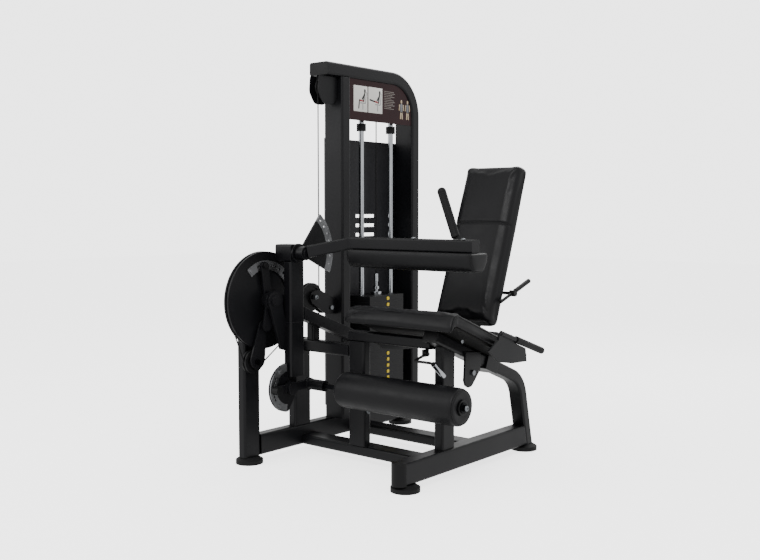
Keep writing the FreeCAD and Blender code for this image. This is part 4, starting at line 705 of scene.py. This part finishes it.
def buildTabs():
    for k in range(tabs["rest"] + tabs["lifted"]):
        z = tabs["low"] + k * tabs["pitch"]
        film("plateTab%d" % k, "yellow",
             block(tabs["y"] - tabs["wide"] / 2, z - tabs["tall"] / 2, tabs["y"] + tabs["wide"] / 2,
                   z + tabs["tall"] / 2, tabs["corner"]), tabs["thick"],
             lambda a, b, c: Vector((tabs["x"] + tabs["proud"] + c, a, b)),
             "frame" if k < tabs["rest"] else "weights", "plate_iron")
    print("tabs ready")


buildTabs()


# a button head, its rows as shares of the radius (radius, height), and its hexagon socket
button = {"round": 24, "rows": ((1.0, 0.0), (1.0, 0.12), (0.93, 0.3), (0.75, 0.5), (0.5, 0.6), (0.46, 0.6)),
          "socket": 0.4, "socketDepths": (0.6, 0.25)}


def bolt(name, place, facing, radius, body):
    turn = Vector((0, 0, 1)).rotation_difference(Vector(facing)).to_matrix()
    mesh = bmesh.new()
    steps = [2 * math.pi * k / button["round"] for k in range(button["round"])]

    def ring(height, share):
        return [mesh.verts.new(Vector(place) + turn @ Vector((radius * share(a) * math.cos(a),
                                                              radius * share(a) * math.sin(a),
                                                              radius * height))) for a in steps]

    def hexagon(a):
        return button["socket"] * math.cos(math.pi / 6) / math.cos((a % (math.pi / 3)) - math.pi / 6)

    rings = [ring(height, lambda a: share) for share, height in button["rows"]]
    rings += [ring(height, hexagon) for height in button["socketDepths"]]
    return flatShaded(piece(name, skinned(mesh, rings), "bolt_steel", body))


# bolt heads: place, the way they face, radius and body
heads = {
    "turnAxleHead": ((-0.6205, 0.214, 0.617), (1, 0, 0), 0.0095, "frame"),
    "padBoltRight": ((0.134, 0.145, 0.8621), (0, 0, 1), 0.0075, "thigh"),
    "padBoltLeft": ((-0.081, 0.145, 0.8621), (0, 0, 1), 0.0075, "thigh"),
    "rollerBolt": ((0.1866, 0.095, 0.296), (1, 0, 0), 0.010, "crank"),
    "seatBolt": ((0.1321, 0.145, 0.513), (1, 0, 0), 0.0065, "frame"),
}
for boltName, (place, facing, radius, body) in heads.items():
    bolt(boltName, place, facing, radius, body)
print("bolts ready")


def roundBar(name, start, end, profile, finish, body, count=32):
    # Turned about the line from start to end: each row is (distance along it, radius).
    turn = Vector((0, 0, 1)).rotation_difference(end - start).to_matrix()
    mesh = bmesh.new()
    rings = []
    for along, radius in profile:
        rings.append([mesh.verts.new(start + turn @ Vector((radius * math.cos(2 * math.pi * k / count),
                                                            radius * math.sin(2 * math.pi * k / count),
                                                            along))) for k in range(count)])
    return piece(name, skinned(mesh, rings), finish, body)


def sleeve(long, radius, dome, ribs):
    # A moulded grip: a rolled lip, shallow rings along it, and a domed end.
    profile = [(0.0, radius * 0.86), (0.001, radius * 0.97), (0.004, radius * 1.03), (0.007, radius)]
    step = (long - dome - 0.012) / ribs
    for k in range(ribs):
        at = 0.009 + k * step
        profile += [(at, radius), (at + step * 0.30, radius), (at + step * 0.38, radius - 0.0005),
                    (at + step * 0.62, radius - 0.0005), (at + step * 0.70, radius)]
    for k in range(8):
        turn = k / 8 * math.pi / 2
        profile.append((long - dome + dome * math.sin(turn), max(0.0006, radius * math.cos(turn))))
    return profile + [(long, 0.0006)]


# hand grips and the plated sleeve of the seat lever
hold = {"foot": (0.092, 0.164, 0.8625), "lean": math.radians(21.2), "long": 0.190, "lift": 0.006,
        "radius": 0.0155, "dome": 0.0145, "ribs": 24, "leverFrom": (0.036, 0.1095, 0.4291),
        "leverTo": (0.036, 0.1705, 0.3786), "leverRadius": 0.0096}


def buildGrips():
    foot = Vector(hold["foot"])
    tip = foot + Vector((-math.sin(hold["lean"]), 0, math.cos(hold["lean"])))
    grip = roundBar("thighGripCover", foot + (tip - foot) * hold["lift"], tip,
                    sleeve(hold["long"] - hold["lift"], hold["radius"], hold["dome"], hold["ribs"]),
                    "grip_rubber", "thigh")
    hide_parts("thigh_grip")
    start, end = Vector(hold["leverFrom"]), Vector(hold["leverTo"])
    long, radius = (end - start).length, hold["leverRadius"]
    rounds = [(0.0, radius * 0.9), (0.0006, radius * 0.98), (0.0014, radius)]
    roundBar("leverSleeve", start, end, rounds + [(long - a, r) for a, r in rounds[::-1]], "rod_chrome",
             "seat_lever")
    print("grips ready")


buildGrips()

# the room: floor, backdrop, lamps and the viewpoint
room = {"floorSize": 30, "floorColour": "#f4f4f4", "floorGlow": 2.3, "backdropGlow": 3.4, "sky": 1.1,
        "eye": (2.0261, -2.5586, 0.960), "tiltDown": 85.9, "turn": 39.9, "lens": 45.85, "sensor": 36,
        "aim": (-0.3, 0.4, 0.6)}
lamps = {"key": ((1.5, -2.6, 3.6), 1.6, 80), "fill": ((-2.4, -2.6, 2.2), 2.0, 26),
         "rim": ((-0.6, 3.0, 2.8), 1.8, 40)}


def glowing(name, look):
    # A stage surface that shines by itself, so that it shows an even pale tone.
    material, shader = newMaterial(name, look)
    shader.inputs["Emission Color"].default_value = (1, 1, 1, 1)
    return material


def stagePiece(name, mesh, material):
    data = bpy.data.meshes.new(name)
    mesh.to_mesh(data)
    mesh.free()
    thing = bpy.data.objects.new(name, data)
    bpy.context.collection.objects.link(thing)
    data.materials.append(material)
    thing.visible_glossy = thing.visible_diffuse = False
    return thing


def buildRoom():
    half = room["floorSize"] / 2
    sheet = bmesh.new()
    sheet.faces.new([sheet.verts.new(corner) for corner in
                     ((-half, -half, 0), (half, -half, 0), (half, half, 0), (-half, half, 0))])
    stagePiece("floor", sheet, glowing("paleFloor", {
        "Base Color": room["floorColour"], "Roughness": 0.9, "Specular IOR Level": 0.0,
        "Emission Strength": room["floorGlow"]}))
    shell = bmesh.new()
    bmesh.ops.create_icosphere(shell, subdivisions=4, radius=room["floorSize"])
    stagePiece("backdrop", shell, glowing("paleBackdrop", {
        "Base Color": "#000000", "Specular IOR Level": 0.0,
        "Emission Strength": room["backdropGlow"]})).visible_shadow = False
    world = bpy.data.worlds.new("studio")
    bpy.context.scene.world = world
    world.use_nodes = True
    world.node_tree.nodes["Background"].inputs["Color"].default_value = (1, 1, 1, 1)
    world.node_tree.nodes["Background"].inputs["Strength"].default_value = room["sky"]
    for name, (spot, size, power) in lamps.items():
        data = bpy.data.lights.new(name, "AREA")
        data.size, data.energy = size, power
        lamp = bpy.data.objects.new(name, data)
        lamp.location = spot
        lamp.rotation_euler = (Vector(room["aim"]) - Vector(spot)).to_track_quat("-Z", "Y").to_euler()
        bpy.context.collection.objects.link(lamp)
    eye = bpy.data.cameras.new("eye")
    eye.lens, eye.sensor_width = room["lens"], room["sensor"]
    viewer = bpy.data.objects.new("viewer", eye)
    viewer.location = room["eye"]
    viewer.rotation_euler = (math.radians(room["tiltDown"]), 0, math.radians(room["turn"]))
    bpy.context.collection.objects.link(viewer)
    bpy.context.scene.camera = viewer
    print("room ready")


buildRoom()
